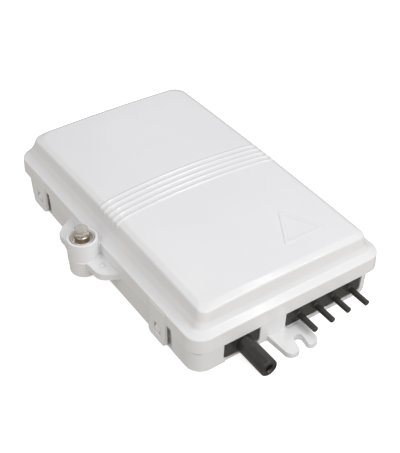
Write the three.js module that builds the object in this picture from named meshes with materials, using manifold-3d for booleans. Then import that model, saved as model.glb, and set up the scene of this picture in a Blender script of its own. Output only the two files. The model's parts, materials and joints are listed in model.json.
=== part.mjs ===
// Fiber termination box: a wall box for four subscriber lines, with a side-hinged cover.
// Millimetres. +Z points out of the wall, -Y is the cable side, -X is the lock side and
// +X is the hinge side. The origin is the centre of the cover's outline on the wall plane.

import * as THREE from 'three';
import { mergeVertices } from 'three/addons/utils/BufferGeometryUtils.js';
import Module from 'manifold-3d';

const wasm = await Module();
wasm.setup();

// ---------------------------------------------------------------- driving dimensions

const GAP = 0.3; // clearance between separate pieces
const WALL = 2.2; // moulded wall thickness

const COVER = { halfX: 63.6, halfY: 100.3, corner: 10.1 }; // outline of the skirt's lower edge
const DOME_FOOT = { inset: 5.6, corner: 4, widening: 0.25 }; // corners of the dome's walls
const BASE = { x0: -63.3, x1: 57.5, y0: -100, y1: 93, corner: 10 }; // outline at the parting
const FLOOR = 2.4;
const PARTING = 14.4; // height of the joint between base and cover
const RIM = 24; // height of the crisp edge on top of the skirt
const DOME = 37.4; // height of the dome's edge
const CROWN_X = 1.1; // extra height across the width
const CROWN_Y = 1.4; // extra height along the length
const CLEAR = 30; // height past every piece, for a tool that cuts upward

const TONGUE = { inset: 1.7, thick: 1.5, top: 16.6 }; // sealing tongue on the base's rim
const CHANNEL_TOP = 18.7; // roof of the cover's gasket channel

const HINGE = { x: 60.6, z: 11.4, radius: 2.6, pin: 1.1, length: 24, ys: [-55, 50] };
const RIDGE = { y: -1.5, pitch: 4.5, bow: 3, foot: 1.2, top: 0.6, rise: 0.55 }; // band of lines
const LOCK = { x: -71.5, y: 0, radius: 9, top: 28.8, bore: 6.9, plate: 2.1, thread: 2.35 };
const LOCK_WEB = 5.4; // half the width of the web between the barrel and the skirt
const INSERT_OUTER = 3.6; // radius of the threaded insert
const TAB = { x0: -64.8, x1: -62.7, bottom: 0.6, top: 22.6, width: 16, ys: [-65.6, 71] };
const TAB_ROOM = { near: 4.5, far: 2.5 }; // width of the pockets beside a snap tab
const INLET = { x: -32.5, z: 8.6, x0: -45.2, x1: -22, radius: 5.1, tip: -121.5, bore: 2.3 };
const OUTLET = { xs: [5, 17, 29, 41], z: 7.6, x0: -5, x1: 48.1, radius: 1.7, tip: -113.2 };
const SEAL = { bottom: 3.4, top: 14.4, face: -99.2, back: -92.5 };
const SEAL_RIB = { near: 1, far: 3.8, y0: -97, y1: -90.5 }; // ribs that guide a seal's flange
const EAR = { thick: 3.6, slot: 2.8, slotX: -3.4, slotY: 109.8, tip: 118, lean: 0.27 };

const TRAY = { x0: -54, x1: 44, y0: -10, y1: 84, z: 6.4, height: 9.5, corner: 18, wall: 1.6 };
const ADAPTER = { xs: [-4, 9.4, 22.8, 36.2], y: -42, z: 10, width: 12.7, height: 9.3, length: 28 };
const STRENGTH_POST = { y: -64, half: 4, top: 10 };

// Pieces held by screws: the screws' places, the tops of their bosses and the screws' seats.
const SCREWED = {
  clamp: { xs: [-43, -22], y: -84, boss: 6.4, seat: 8.9 },
  comb: { xs: [-2, 48], y: -80, boss: 6.4, seat: 8.5 },
  bracket: { xs: [-15.3, 47.5], y: -42, boss: 5.2, seat: 7.1 },
  tray: { xs: [-48, 38], y: 37, boss: 6.1, seat: 8 },
};
const SCREW = { shank: 0.95, head: 2.9, hole: 1.9, boss: 3.4, length: 3 };
const GUIDES = [[-50, -44, Math.PI / 2], [-50, -22, Math.PI / 2], [-28, -36, 0]]; // x, y, turn

// ---------------------------------------------------------------- solids and booleans

function toSolid(geometry) {
  const bare = geometry.index ? geometry.toNonIndexed() : geometry.clone();
  bare.deleteAttribute('normal');
  bare.deleteAttribute('uv');
  const merged = mergeVertices(bare, 1e-4);
  return new wasm.Manifold(new wasm.Mesh({
    numProp: 3,
    vertProperties: new Float32Array(merged.attributes.position.array),
    triVerts: new Uint32Array(merged.index.array),
  }));
}

function toGeometry(solid) {
  const mesh = solid.getMesh();
  const geometry = new THREE.BufferGeometry();
  geometry.setAttribute('position', new THREE.BufferAttribute(mesh.vertProperties, 3));
  geometry.setIndex(new THREE.BufferAttribute(mesh.triVerts, 1));
  geometry.computeVertexNormals();
  return geometry;
}

function join(...solids) {
  return solids.reduce((sum, solid) => sum.add(solid));
}

function cut(solid, ...tools) {
  return tools.reduce((rest, tool) => rest.subtract(tool), solid);
}

function block(x0, x1, y0, y1, z0, z1) {
  const geometry = new THREE.BoxGeometry(x1 - x0, y1 - y0, z1 - z0);
  geometry.translate((x0 + x1) / 2, (y0 + y1) / 2, (z0 + z1) / 2);
  return toSolid(geometry);
}

// A round bar standing along Z, with different radii at its foot and head if wanted.
function post(x, y, z0, z1, foot, head = foot, sides = 32) {
  const geometry = new THREE.CylinderGeometry(head, foot, z1 - z0, sides);
  geometry.rotateX(Math.PI / 2);
  geometry.translate(x, y, (z0 + z1) / 2);
  return toSolid(geometry);
}

// A round bar lying along Y.
function rod(x, z, y0, y1, radius, sides = 24) {
  const geometry = new THREE.CylinderGeometry(radius, radius, y1 - y0, sides);
  geometry.translate(x, (y0 + y1) / 2, z);
  return toSolid(geometry);
}

// A turned piece on the Z axis: the profile is a closed list of [radius, z].
function turned(profile, x, y, sides = 32) {
  const points = [...profile, profile[0]].map(([r, z]) => new THREE.Vector2(r, z));
  const geometry = new THREE.LatheGeometry(points, sides);
  geometry.rotateX(Math.PI / 2);
  geometry.translate(x, y, 0);
  return toSolid(geometry);
}

// A flat outline (THREE.Shape in X and Y) raised from z0 to z1.
function plate(shape, z0, z1, curveSegments = 10) {
  const settings = { depth: z1 - z0, bevelEnabled: false, curveSegments };
  const geometry = new THREE.ExtrudeGeometry(shape, settings);
  geometry.translate(0, 0, z0);
  return toSolid(geometry);
}

function roundedShape(x0, x1, y0, y1, radius) {
  const shape = new THREE.Shape();
  shape.absarc(x1 - radius, y1 - radius, radius, 0, Math.PI / 2);
  shape.absarc(x0 + radius, y1 - radius, radius, Math.PI / 2, Math.PI);
  shape.absarc(x0 + radius, y0 + radius, radius, Math.PI, Math.PI * 1.5);
  shape.absarc(x1 - radius, y0 + radius, radius, Math.PI * 1.5, Math.PI * 2);
  shape.closePath();
  return shape;
}

// ---------------------------------------------------------------- lofted rings

const CORNER_STEPS = 6;
const SIDE_STEPS = 4;

function crownAt(x, y) {
  const edgeX = COVER.halfX - 8.6;
  const edgeY = COVER.halfY - 6.6;
  return CROWN_X * (1 - (x / edgeX) ** 2) + CROWN_Y * (1 - (y / edgeY) ** 2);
}

// A rounded rectangle as a ring of points; crown lifts each point by that share of the crown.
function ring(x0, x1, y0, y1, radius, z, crown = 0) {
  const corners = [
    [x1 - radius, y1 - radius, 0],
    [x0 + radius, y1 - radius, 1],
    [x0 + radius, y0 + radius, 2],
    [x1 - radius, y0 + radius, 3],
  ];
  const arcs = corners.map(([cx, cy, quarter]) => {
    const arc = [];
    for (let i = 0; i <= CORNER_STEPS; i++) {
      const angle = (quarter + i / CORNER_STEPS) * Math.PI / 2;
      arc.push([cx + radius * Math.cos(angle), cy + radius * Math.sin(angle)]);
    }
    return arc;
  });
  const outline = [];
  arcs.forEach((arc, k) => {
    outline.push(...arc);
    const from = arc[CORNER_STEPS];
    const to = arcs[(k + 1) % 4][0];
    for (let i = 1; i < SIDE_STEPS; i++) {
      const t = i / SIDE_STEPS;
      outline.push([from[0] + (to[0] - from[0]) * t, from[1] + (to[1] - from[1]) * t]);
    }
  });
  return outline.map(([x, y]) => [x, y, z + crown * crownAt(x, y)]);
}

// Skins a stack of rings and closes both ends with a fan.
function loft(rings) {
  const size = rings[0].length;
  const points = rings.flat();
  const faces = [];
  for (let k = 0; k < rings.length - 1; k++) {
    for (let i = 0; i < size; i++) {
      const a = k * size + i;
      const b = k * size + (i + 1) % size;
      faces.push(a, b, b + size, a, b + size, a + size);
    }
  }
  const centre = (ringPoints) => [0, 1, 2].map(
    (axis) => ringPoints.reduce((sum, p) => sum + p[axis], 0) / size,
  );
  const last = (rings.length - 1) * size;
  const low = points.push(centre(rings[0])) - 1;
  const high = points.push(centre(rings[rings.length - 1])) - 1;
  for (let i = 0; i < size; i++) {
    const next = (i + 1) % size;
    faces.push(low, next, i, high, last + i, last + next);
  }
  const geometry = new THREE.BufferGeometry();
  geometry.setAttribute('position', new THREE.Float32BufferAttribute(points.flat(), 3));
  geometry.setIndex(faces);
  return toSolid(geometry);
}

// The corners tighten from the skirt to the foot of the dome's walls, then widen a little.
function coverCorner(inset) {
  const { inset: foot, corner, widening } = DOME_FOOT;
  if (inset > foot) {
    return corner + widening * (inset - foot);
  }
  return COVER.corner + (corner - COVER.corner) * inset / foot;
}

function coverRing(insetX, insetY, z, crown = 0) {
  const radius = coverCorner(Math.min(insetX, insetY));
  const x = COVER.halfX - insetX;
  const y = COVER.halfY - insetY;
  return ring(-x, x, -y, y, radius, z, crown);
}

function baseRing(inset, z) {
  const radius = Math.max(BASE.corner - inset, 1);
  return ring(BASE.x0 + inset, BASE.x1 - inset, BASE.y0 + inset, BASE.y1 - inset, radius, z);
}

// A straight-sided rounded block or frame that follows the base's outline.
function baseBlock(inset, z0, z1) {
  return loft([baseRing(inset, z0), baseRing(inset, z1)]);
}

function baseFrame(outer, inner, z0, z1) {
  return cut(baseBlock(outer, z0, z1), baseBlock(inner, z0 - 1, z1 + 1));
}

// ---------------------------------------------------------------- base

// Plate with a slanted open slot for a wall screw; side is -1 at the cable end, 1 at the far end.
function earShape(side) {
  const yAt = (y) => (side < 0 ? -y : y + BASE.y0 + BASE.y1);
  const wall = -BASE.y0 - 1;
  const { tip, slotX, slotY } = EAR;
  const shape = new THREE.Shape();
  shape.moveTo(-16.6, yAt(wall));
  shape.lineTo(-15, yAt(tip - 4.4));
  shape.quadraticCurveTo(-14.6, yAt(tip - 0.4), -10.6, yAt(tip - 0.4));
  shape.quadraticCurveTo(-8.2, yAt(tip - 0.4), -8.2, yAt(tip - 1.6));
  shape.lineTo(slotX - EAR.slot, yAt(slotY));
  const steps = 10;
  for (let i = 1; i < steps; i++) {
    const angle = Math.PI - Math.PI * i / steps;
    const x = slotX + EAR.slot * Math.cos(angle);
    const y = slotY - EAR.slot * Math.sin(angle);
    shape.lineTo(x, yAt(y));
  }
  shape.lineTo(slotX + EAR.slot, yAt(slotY));
  shape.lineTo(slotX + EAR.slot - EAR.lean * (tip - slotY - 1.4), yAt(tip - 1.4));
  shape.quadraticCurveTo(-3.2, yAt(tip), -1.2, yAt(tip));
  shape.quadraticCurveTo(5, yAt(tip), 5, yAt(tip - 6));
  shape.lineTo(6, yAt(wall));
  shape.closePath();
  return shape;
}

// Wing plate that ties the lock barrel to the long wall.
function wingShape() {
  const shape = new THREE.Shape();
  shape.moveTo(-62, -28.5);
  shape.lineTo(-64.3, -28.2);
  shape.bezierCurveTo(-69, -27.6, -73.6, -25.6, -74.2, -21.5);
  shape.bezierCurveTo(-74.8, -16, -75.8, -12, -77.4, -7.2);
  shape.lineTo(-77.4, 7.2);
  shape.bezierCurveTo(-75.8, 12, -76.4, 17, -74.6, 21.5);
  shape.bezierCurveTo(-73.6, 25.6, -69, 27.6, -64.3, 28.2);
  shape.lineTo(-62, 28.5);
  shape.closePath();
  return shape;
}

function knuckle(y0, y1) {
  return rod(HINGE.x, HINGE.z, y0, y1, HINGE.radius);
}

function hingeBore() {
  const solids = HINGE.ys.map((y) => rod(HINGE.x, HINGE.z, y - 20, y + 20, HINGE.pin + GAP));
  return join(...solids);
}

// The inner third of each hinge belongs to the cover, the outer two to the base.
function hingeSpan(y) {
  const third = HINGE.length / 3;
  return [y - HINGE.length / 2, y - third / 2, y + third / 2, y + HINGE.length / 2];
}

function screwBoss(x, y, top) {
  const outside = post(x, y, FLOOR - 0.5, top, SCREW.boss, SCREW.boss - 0.4);
  return cut(outside, post(x, y, FLOOR, top + 1, SCREW.shank + GAP, SCREW.shank + GAP, 16));
}

function screwHoles({ xs, y }) {
  return xs.map((x) => post(x, y, FLOOR + 2, CLEAR, SCREW.hole, SCREW.hole, 16));
}

function sealOpening(x0, x1) {
  return block(x0, x1, BASE.y0 - 1, -95.6, SEAL.bottom - GAP, TONGUE.top + 1);
}

function sealPocket(x0, x1) {
  return block(x0 - 2.3, x1 + 2.3, -97, SEAL.back + GAP, FLOOR, TONGUE.top + 1);
}

function makeBase() {
  const shell = loft([
    baseRing(0.9, 0),
    baseRing(0.5, 0.5),
    baseRing(0, PARTING),
    baseRing(TONGUE.inset, PARTING),
    baseRing(TONGUE.inset, TONGUE.top - 0.4),
    baseRing(TONGUE.inset + 0.3, TONGUE.top),
    baseRing(TONGUE.inset + TONGUE.thick, TONGUE.top),
    baseRing(TONGUE.inset + TONGUE.thick + 0.4, FLOOR),
  ]);
  const ears = join(plate(earShape(-1), 0, EAR.thick), plate(earShape(1), 0, EAR.thick));
  const earRoom = baseBlock(2, FLOOR, CLEAR);
  const wing = plate(wingShape(), PARTING - LOCK.plate, PARTING);
  const barrel = post(LOCK.x, LOCK.y, 5.4, PARTING, LOCK.radius - 0.5, LOCK.radius - 0.1, 40);
  const wingWeb = block(-66, -61.5, -LOCK_WEB, LOCK_WEB, 7.5, PARTING - 0.5);
  const wingRoom = baseBlock(2.4, FLOOR, CLEAR);
  const tabBacks = join(...TAB.ys.map(
    (y) => block(-62, -57.4, y - 14, y + 12.6, FLOOR - 0.5, PARTING - 0.6),
  ));
  const tabPockets = join(...TAB.ys.map(
    (y) => block(
      -66, -60.2,
      y - TAB.width / 2 - TAB_ROOM.near, y + TAB.width / 2 + TAB_ROOM.far,
      -1, PARTING + 0.01,
    ),
  ));
  const teeth = join(...TAB.ys.map((y) => toothFor(y)));
  const knuckles = HINGE.ys.flatMap((y) => {
    const [a, b, c, d] = hingeSpan(y);
    const arm = (y0, y1) => block(57, HINGE.x, y0, y1, HINGE.z - HINGE.radius, HINGE.z + 2.2);
    return [knuckle(a, b), arm(a, b), knuckle(c, d), arm(c, d)];
  });
  const sealRib = (x0, x1) => block(x0, x1, SEAL_RIB.y0, SEAL_RIB.y1, FLOOR - 0.5, PARTING);
  const sealRibs = [INLET, OUTLET].flatMap(({ x0, x1 }) => [
    sealRib(x0 - SEAL_RIB.far, x0 - SEAL_RIB.near),
    sealRib(x1 + SEAL_RIB.near, x1 + SEAL_RIB.far),
  ]);
  const bosses = Object.values(SCREWED).flatMap(({ xs, y, boss }) => xs.map(
    (x) => screwBoss(x, y, boss),
  ));
  const backNotch = block(-44, -33.5, BASE.y0 - 1, -98.2, -1, 2.6);
  const body = cut(
    join(
      shell,
      cut(ears, earRoom),
      cut(join(wing, barrel, wingWeb), wingRoom),
      tabBacks,
    ),
    tabPockets,
    sealOpening(INLET.x0, INLET.x1),
    sealOpening(OUTLET.x0, OUTLET.x1),
    post(LOCK.x, LOCK.y, 7, PARTING + 1, INSERT_OUTER + GAP, INSERT_OUTER + GAP, 24),
    backNotch,
  );
  const whole = join(body, teeth, cut(join(...knuckles), hingeBore()), ...sealRibs, ...bosses);
  return cut(whole, sealPocket(INLET.x0, INLET.x1), sealPocket(OUTLET.x0, OUTLET.x1));
}

// Wedge on the base that a snap tab's window hooks over: its upper side slopes.
function toothFor(y) {
  const side = new THREE.Shape();
  side.moveTo(-59.8, 6.2);
  side.lineTo(-64.3, 6.2);
  side.lineTo(-64.3, 7.4);
  side.lineTo(-62.6, 10.4);
  side.lineTo(-59.8, 10.4);
  side.closePath();
  const width = 4.6;
  const settings = { depth: width, bevelEnabled: false };
  const geometry = new THREE.ExtrudeGeometry(side, settings);
  geometry.rotateX(Math.PI / 2);
  geometry.translate(0, y + width / 2, 0);
  return toSolid(geometry);
}

// ---------------------------------------------------------------- cover

// One raised line of the band: bowed along its way over the crown, it dips at both flanks.
function bandRidge(y) {
  const flat = COVER.halfX - 11.4;
  const end = flat + 2.5;
  const steps = [-4, -3, -2, -1, 0, 1, 2, 3, 4];
  const xs = [-end, ...steps.map((k) => flat * k / 4), end];
  const sections = xs.map((x) => {
    const bow = RIDGE.bow * (1 - (x / end) ** 2);
    const dip = Math.abs(x) > flat ? 1.9 : 0;
    return [x, y + bow, DOME + crownAt(x, y + bow) - dip];
  });
  const bars = [];
  for (let i = 0; i < xs.length - 1; i++) {
    const points = [sections[i], sections[i + 1]].flatMap(([x, middle, z]) => [
      [x, middle - RIDGE.foot, z - 1.4],
      [x, middle + RIDGE.foot, z - 1.4],
      [x, middle + RIDGE.top, z + RIDGE.rise],
      [x, middle - RIDGE.top, z + RIDGE.rise],
    ]);
    const faces = [
      0, 3, 2, 0, 2, 1, 4, 5, 6, 4, 6, 7, 0, 1, 5, 0, 5, 4,
      1, 2, 6, 1, 6, 5, 2, 3, 7, 2, 7, 6, 3, 0, 4, 3, 4, 7,
    ];
    const geometry = new THREE.BufferGeometry();
    geometry.setAttribute('position', new THREE.Float32BufferAttribute(points.flat(), 3));
    geometry.setIndex(faces);
    bars.push(toSolid(geometry));
  }
  return join(...bars);
}

// Plain raised triangular frame near the cable end of the dome.
function triangleFrame() {
  const centre = [24.4, -69.3];
  const corner = (size, turn) => [
    centre[0] + size * Math.cos(turn * Math.PI / 180),
    centre[1] + size * Math.sin(turn * Math.PI / 180),
  ];
  const outline = (size) => [90, 210, 330].map((turn) => new THREE.Vector2(...corner(size, turn)));
  const shape = new THREE.Shape(outline(16.6));
  shape.holes.push(new THREE.Path(outline(14)));
  return plate(shape, DOME - 1, DOME + CROWN_X + 0.9);
}

function makeCover() {
  const outside = loft([
    coverRing(0, 0, PARTING + GAP),
    coverRing(0.3, 0.3, RIM - 0.5),
    coverRing(0.7, 0.7, RIM),
    coverRing(5.4, 4.8, RIM + 1.5),
    coverRing(6.8, 5.6, RIM + 3.4),
    coverRing(7.8, 6.1, RIM + 6.6, 0.3),
    coverRing(8.6, 6.6, DOME - 2.4, 0.8),
    coverRing(9.4, 7.3, DOME - 0.8, 1),
    coverRing(11.4, 9.2, DOME, 1),
    coverRing(24, 24, DOME, 1),
    coverRing(40, 52, DOME, 1),
  ]);
  const inside = loft([
    coverRing(WALL + 8, WALL + 6.4, RIM + 2),
    coverRing(WALL + 8.6, WALL + 6.6, DOME - 3.6, 0.8),
    coverRing(WALL + 10.6, WALL + 8.4, DOME - WALL, 1),
    coverRing(24, 24, DOME - WALL, 1),
    coverRing(40, 52, DOME - WALL, 1),
  ]);
  const inner = TONGUE.inset + TONGUE.thick;
  const cavity = loft([
    baseRing(inner + 1.6, PARTING - 1),
    baseRing(inner + 1.6, RIM - 1.2),
    baseRing(inner + 4.5, RIM + 1),
    baseRing(inner + 6, RIM + 2.1),
  ]);
  const channel = baseFrame(TONGUE.inset - GAP, inner + GAP, PARTING - 1, CHANNEL_TOP);
  const ribFoot = baseFrame(inner, inner + 2, PARTING - 1, TONGUE.top + 0.6);
  const overhang = cut(
    loft([coverRing(1.5, 1.5, PARTING - 1), coverRing(1.7, 1.7, RIM - 1.7)]),
    baseBlock(-0.4, PARTING - 2, RIM),
  );
  const knuckleSpans = HINGE.ys.map((y) => hingeSpan(y));
  const knuckles = join(...knuckleSpans.map(([, b, c]) => join(
    knuckle(b + GAP, c - GAP),
    block(HINGE.x - 2.2, 62.6, b + GAP, c - GAP, HINGE.z, RIM - 1),
  )));
  const barrel = post(LOCK.x, LOCK.y, PARTING + GAP, LOCK.top, LOCK.radius, LOCK.radius - 0.1, 40);
  const wing = plate(wingShape(), PARTING + GAP, PARTING + GAP + LOCK.plate);
  const web = block(LOCK.x, -62.4, -LOCK_WEB, LOCK_WEB, PARTING + 1, RIM - 0.3);
  const lockRoom = join(
    post(LOCK.x, LOCK.y, 21.6, LOCK.top + 1, LOCK.bore, LOCK.bore, 40),
    post(LOCK.x, LOCK.y, PARTING, 23, 3, 3, 24),
    post(LOCK.x, LOCK.y, PARTING, 20.2, 5.2, 5.2, 32),
  );
  const tabNotches = join(...TAB.ys.map((y) => block(
    -67, TAB.x1 + GAP,
    y - TAB.width / 2 - GAP, y + TAB.width / 2 + GAP,
    PARTING - 1, TAB.top + GAP,
  )));
  const wingRoom = loft([coverRing(1, 1, PARTING - 1), coverRing(1.6, 1.6, RIM - 1)]);
  const ridges = [-2, -1, 0, 1, 2].map((k) => bandRidge(RIDGE.y + RIDGE.pitch * k));
  const shell = cut(join(outside, ...ridges, triangleFrame()), inside, cavity, channel, ribFoot);
  const skirted = cut(shell, overhang);
  const lug = cut(join(barrel, wing, web), wingRoom, lockRoom);
  return cut(join(skirted, lug, cut(knuckles, hingeBore())), tabNotches);
}

// The tab's window is a hole through its lower half, closed below by a bar.
function makeSnapTab(y) {
  const half = TAB.width / 2;
  const body = block(TAB.x0, TAB.x1, y - half, y + half, TAB.bottom, TAB.top);
  const window = block(TAB.x0 - 1, TAB.x1 + 1, y - 3, y + 3, 5.2, 11.2);
  return cut(body, window);
}

function makeGasket() {
  const outer = TONGUE.inset;
  return baseFrame(outer, outer + TONGUE.thick, TONGUE.top + GAP, CHANNEL_TOP - GAP);
}

// ---------------------------------------------------------------- cable seals

// A rubber block in the wall's cut-out, with a wider flange behind the wall.
function sealBlock(x0, x1) {
  const face = block(x0 + GAP, x1 - GAP, SEAL.face, SEAL.back, SEAL.bottom, SEAL.top);
  const flange = block(x0 - 2, x1 + 2, -96.7, SEAL.back, FLOOR + GAP, SEAL.top);
  const ridge = block(x0 + GAP, x1 - GAP, -98.3, -96.2, SEAL.top - 1, TONGUE.top);
  return join(face, flange, ridge);
}

function makeInletSeal() {
  const nozzle = rod(INLET.x, INLET.z, INLET.tip, SEAL.back - 2, INLET.radius, 28);
  const bore = rod(INLET.x, INLET.z, INLET.tip - 1, INLET.tip + 14, INLET.bore, 16);
  return cut(join(sealBlock(INLET.x0, INLET.x1), nozzle), bore);
}

function makeOutletSeal() {
  const nozzles = OUTLET.xs.flatMap((x) => [
    rod(x, OUTLET.z, OUTLET.tip, SEAL.back - 2, OUTLET.radius, 16),
    rod(x, OUTLET.z, SEAL.face - 1.4, SEAL.back - 2, OUTLET.radius + 1.5, 20),
  ]);
  return join(sealBlock(OUTLET.x0, OUTLET.x1), ...nozzles);
}

// ---------------------------------------------------------------- lock

function makeLockBolt() {
  const stem = turned([
    [0, 10.2], [1.9, 10.2], [LOCK.thread, 10.8], // point
    [LOCK.thread, 14.8], [1.6, 14.8], [1.6, 16.2], [LOCK.thread, 16.2], // groove for the retainer
    [LOCK.thread, 22.8], [4.9, 22.8], [4.9, 28.2], [3.7, 28.4], [3.7, 29.6], // shoulder
    [4.2, 29.9], [4.2, 30.6], [3.2, 30.9], [3.2, 31.4], [0, 31.4], // collar and neck
  ], LOCK.x, LOCK.y);
  const head = new THREE.CylinderGeometry(4.3, 4.5, 3.4, 6);
  head.rotateX(Math.PI / 2);
  head.translate(LOCK.x, LOCK.y, 33);
  return join(stem, toSolid(head));
}

function makeLockRetainer() {
  return turned([[1.9, 15.1], [4.6, 15.1], [4.6, 15.9], [1.9, 15.9]], LOCK.x, LOCK.y);
}

function makeLockSleeve() {
  const outer = LOCK.bore - GAP;
  return turned([
    [LOCK.thread + 0.5, 21.9], [outer, 21.9], [outer, LOCK.top - 0.4], [outer - 0.9, LOCK.top - 0.4],
    [outer - 0.9, 22.5], [LOCK.thread + 0.5, 22.5],
  ], LOCK.x, LOCK.y, 36);
}

function makeLockInsert() {
  const inner = LOCK.thread + 0.35;
  const [low, high] = [7.4, PARTING - GAP];
  return turned(
    [[inner, low], [INSERT_OUTER, low], [INSERT_OUTER, high], [inner, high]],
    LOCK.x, LOCK.y, 24,
  );
}

function makeHingePin(y) {
  const half = HINGE.length / 2;
  return rod(HINGE.x, HINGE.z, y - half, y + half, HINGE.pin, 16);
}

// ---------------------------------------------------------------- inside

function makeTray() {
  const { x0, x1, y0, y1, z, height, corner, wall } = TRAY;
  const pan = plate(roundedShape(x0, x1, y0, y1, corner), z, z + height);
  const roomShape = roundedShape(x0 + wall, x1 - wall, y0 + wall, y1 - wall, corner - wall);
  const room = plate(roomShape, z + wall, CLEAR);
  const cx = (x0 + x1) / 2;
  const cy = (y0 + y1) / 2;
  const spool = (x) => cut(
    post(x, cy, z + 1, z + 8, 21, 21, 40),
    post(x, cy, z, z + 9, 19.4, 19.4, 40),
    block(cx - 17, cx + 17, cy - 30, cy + 30, z - 1, z + 10),
  );
  const doors = join(
    block(cx - 36, cx - 22, y0 - 1, y0 + 3, z + wall, CLEAR),
    block(cx + 22, cx + 36, y0 - 1, y0 + 3, z + wall, CLEAR),
  );
  const spools = join(spool(cx - 17), spool(cx + 17));
  return cut(join(cut(pan, room), spools), doors, ...screwHoles(SCREWED.tray));
}

function makeTrayLid() {
  const { x0, x1, y0, y1, z, height, corner } = TRAY;
  const top = z + height + GAP;
  const grip = [x0 + 20, x1 - 20].map((x) => post(x, y0 + 2, top - 1, top + 3, 7, 7, 24));
  return cut(plate(roundedShape(x0, x1, y0, y1, corner), top, top + 1.2), ...grip);
}

function makeSpliceHolder() {
  const cx = (TRAY.x0 + TRAY.x1) / 2;
  const cy = (TRAY.y0 + TRAY.y1) / 2;
  const foot = TRAY.z + TRAY.wall + GAP;
  const body = block(cx - 11, cx + 11, cy - 15, cy + 15, foot, foot + 6.6);
  const grooves = [-7.5, -2.5, 2.5, 7.5].map(
    (x) => block(cx + x - 1.4, cx + x + 1.4, cy - 20, cy + 20, foot + 2.2, foot + 9),
  );
  return cut(body, ...grooves);
}

function makeAdapterBracket() {
  const { xs, y, z, width, height } = ADAPTER;
  const foot = { half: 4.3, low: 5.5, high: 7.1 };
  const wall = block(xs[0] - 8, xs[3] + 8, y - 1, y + 1, FLOOR + GAP, z + 6.4);
  const feet = SCREWED.bracket.xs.map(
    (x) => block(x - foot.half, x + foot.half, y - 5, y + 5, foot.low, foot.high),
  );
  const windows = xs.map((x) => block(
    x - width / 2 - GAP, x + width / 2 + GAP,
    y - 3, y + 3,
    z - height / 2 - GAP, z + height / 2 + GAP,
  ));
  return cut(join(cut(wall, ...windows), ...feet), ...screwHoles(SCREWED.bracket));
}

function makeAdapter(x) {
  const { y, z, width, height, length } = ADAPTER;
  const half = length / 2;
  const body = block(x - width / 2, x + width / 2, y - half, y + half, z - height / 2, z + height / 2);
  const collar = block(
    x - width / 2, x + width / 2,
    y - 3, y - 1 - GAP,
    z - height / 2 - 1, z + height / 2 + 1,
  );
  const key = block(x - 1.5, x + 1.5, y - half, y + half, z + height / 2 - 0.5, z + height / 2 + 0.8);
  const socket = block(x - 4.7, x + 4.7, y - half - 1, y + half + 1, z - 3.7, z + 3.7);
  return cut(join(body, collar, cut(key, block(x - 2, x + 2, y - 4, y + 4, z, z + 8))), socket);
}

// Rubber plug for one end of an adapter; side is -1 toward the outlets, 1 toward the tray.
function makeDustCap(x, side) {
  const { y, z, length } = ADAPTER;
  const mouth = y + side * length / 2;
  const ends = (a, b) => [Math.min(a, b), Math.max(a, b)];
  const plug = block(x - 4.4, x + 4.4, ...ends(mouth + side * GAP, mouth - side * 8), z - 3.4, z + 3.4);
  const head = block(x - 5.6, x + 5.6, ...ends(mouth + side * GAP, mouth + side * 3.2), z - 4.4, z + 4.4);
  return join(plug, head);
}

function makeCableClamp() {
  const { xs, y, boss, seat } = SCREWED.clamp;
  const half = 3;
  const arch = rod(INLET.x, INLET.z, y - half, y + half, INLET.radius + 1.9, 32);
  const foot = boss + GAP;
  const feet = block(xs[0] - 3, xs[1] + 3, y - half, y + half, foot, seat);
  const bore = rod(INLET.x, INLET.z, y - 6, y + 6, INLET.radius - 0.2, 32);
  const under = block(xs[0] - 7, xs[1] + 7, y - 6, y + 6, 0, foot);
  return cut(join(arch, feet), bore, under, ...screwHoles(SCREWED.clamp));
}

function makeComb() {
  const { xs, y, boss, seat } = SCREWED.comb;
  const half = 3;
  const bar = block(xs[0] - 3.5, xs[1] + 3.5, y - half, y + half, boss + GAP, seat);
  const tooth = (x0, x1) => block(x0, x1, y - half, y + half, seat - 0.5, seat + 4.5);
  const teeth = OUTLET.xs.flatMap((x) => [tooth(x - 3.4, x - 1.2), tooth(x + 1.2, x + 3.4)]);
  return cut(join(bar, ...teeth), ...screwHoles(SCREWED.comb));
}

function makeStrengthPost() {
  const { x } = INLET;
  const { y, half, top } = STRENGTH_POST;
  const body = block(x - half, x + half, y - half, y + half, FLOOR + GAP, top);
  const wireHole = rod(x, 6, y - half - 2, y + half + 2, 1.4, 16);
  return cut(body, wireHole, post(x, y, 7, top + 2, SCREW.shank + 0.5, SCREW.shank + 0.5, 16));
}

// Pan-head screw with a plain slot; top is the seat of its head.
function makeScrew(x, y, top) {
  const { shank, head, length } = SCREW;
  const screw = turned([
    [0, top - length], [shank, top - length], [shank, top + GAP], [head, top + GAP],
    [head, top + 1.2], [head - 0.9, top + 2], [0, top + 2],
  ], x, y, 12);
  const slot = { half: 2.2, narrow: 0.35 };
  return cut(screw, block(
    x - slot.half, x + slot.half,
    y - slot.narrow, y + slot.narrow,
    top + 1.3, top + 3,
  ));
}

// Small arch clipped to the floor that keeps a fibre loop against the wall.
function makeFibreGuide(x, y, turn) {
  const reach = 7;
  const height = 9;
  const thick = 1.6;
  const width = 5;
  const shape = new THREE.Shape();
  shape.moveTo(-reach, 0);
  shape.lineTo(-reach, height);
  shape.lineTo(reach - 2, height);
  shape.lineTo(reach - 2, height - thick);
  shape.lineTo(thick - reach, height - thick);
  shape.lineTo(thick - reach, thick);
  shape.lineTo(reach, thick);
  shape.lineTo(reach, 0);
  shape.closePath();
  const geometry = new THREE.ExtrudeGeometry(shape, { depth: width, bevelEnabled: false });
  geometry.translate(0, 0, -width / 2);
  geometry.rotateX(Math.PI / 2);
  geometry.rotateZ(turn);
  geometry.translate(x, y, FLOOR + GAP);
  return toSolid(geometry);
}

// ---------------------------------------------------------------- assembly

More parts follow.
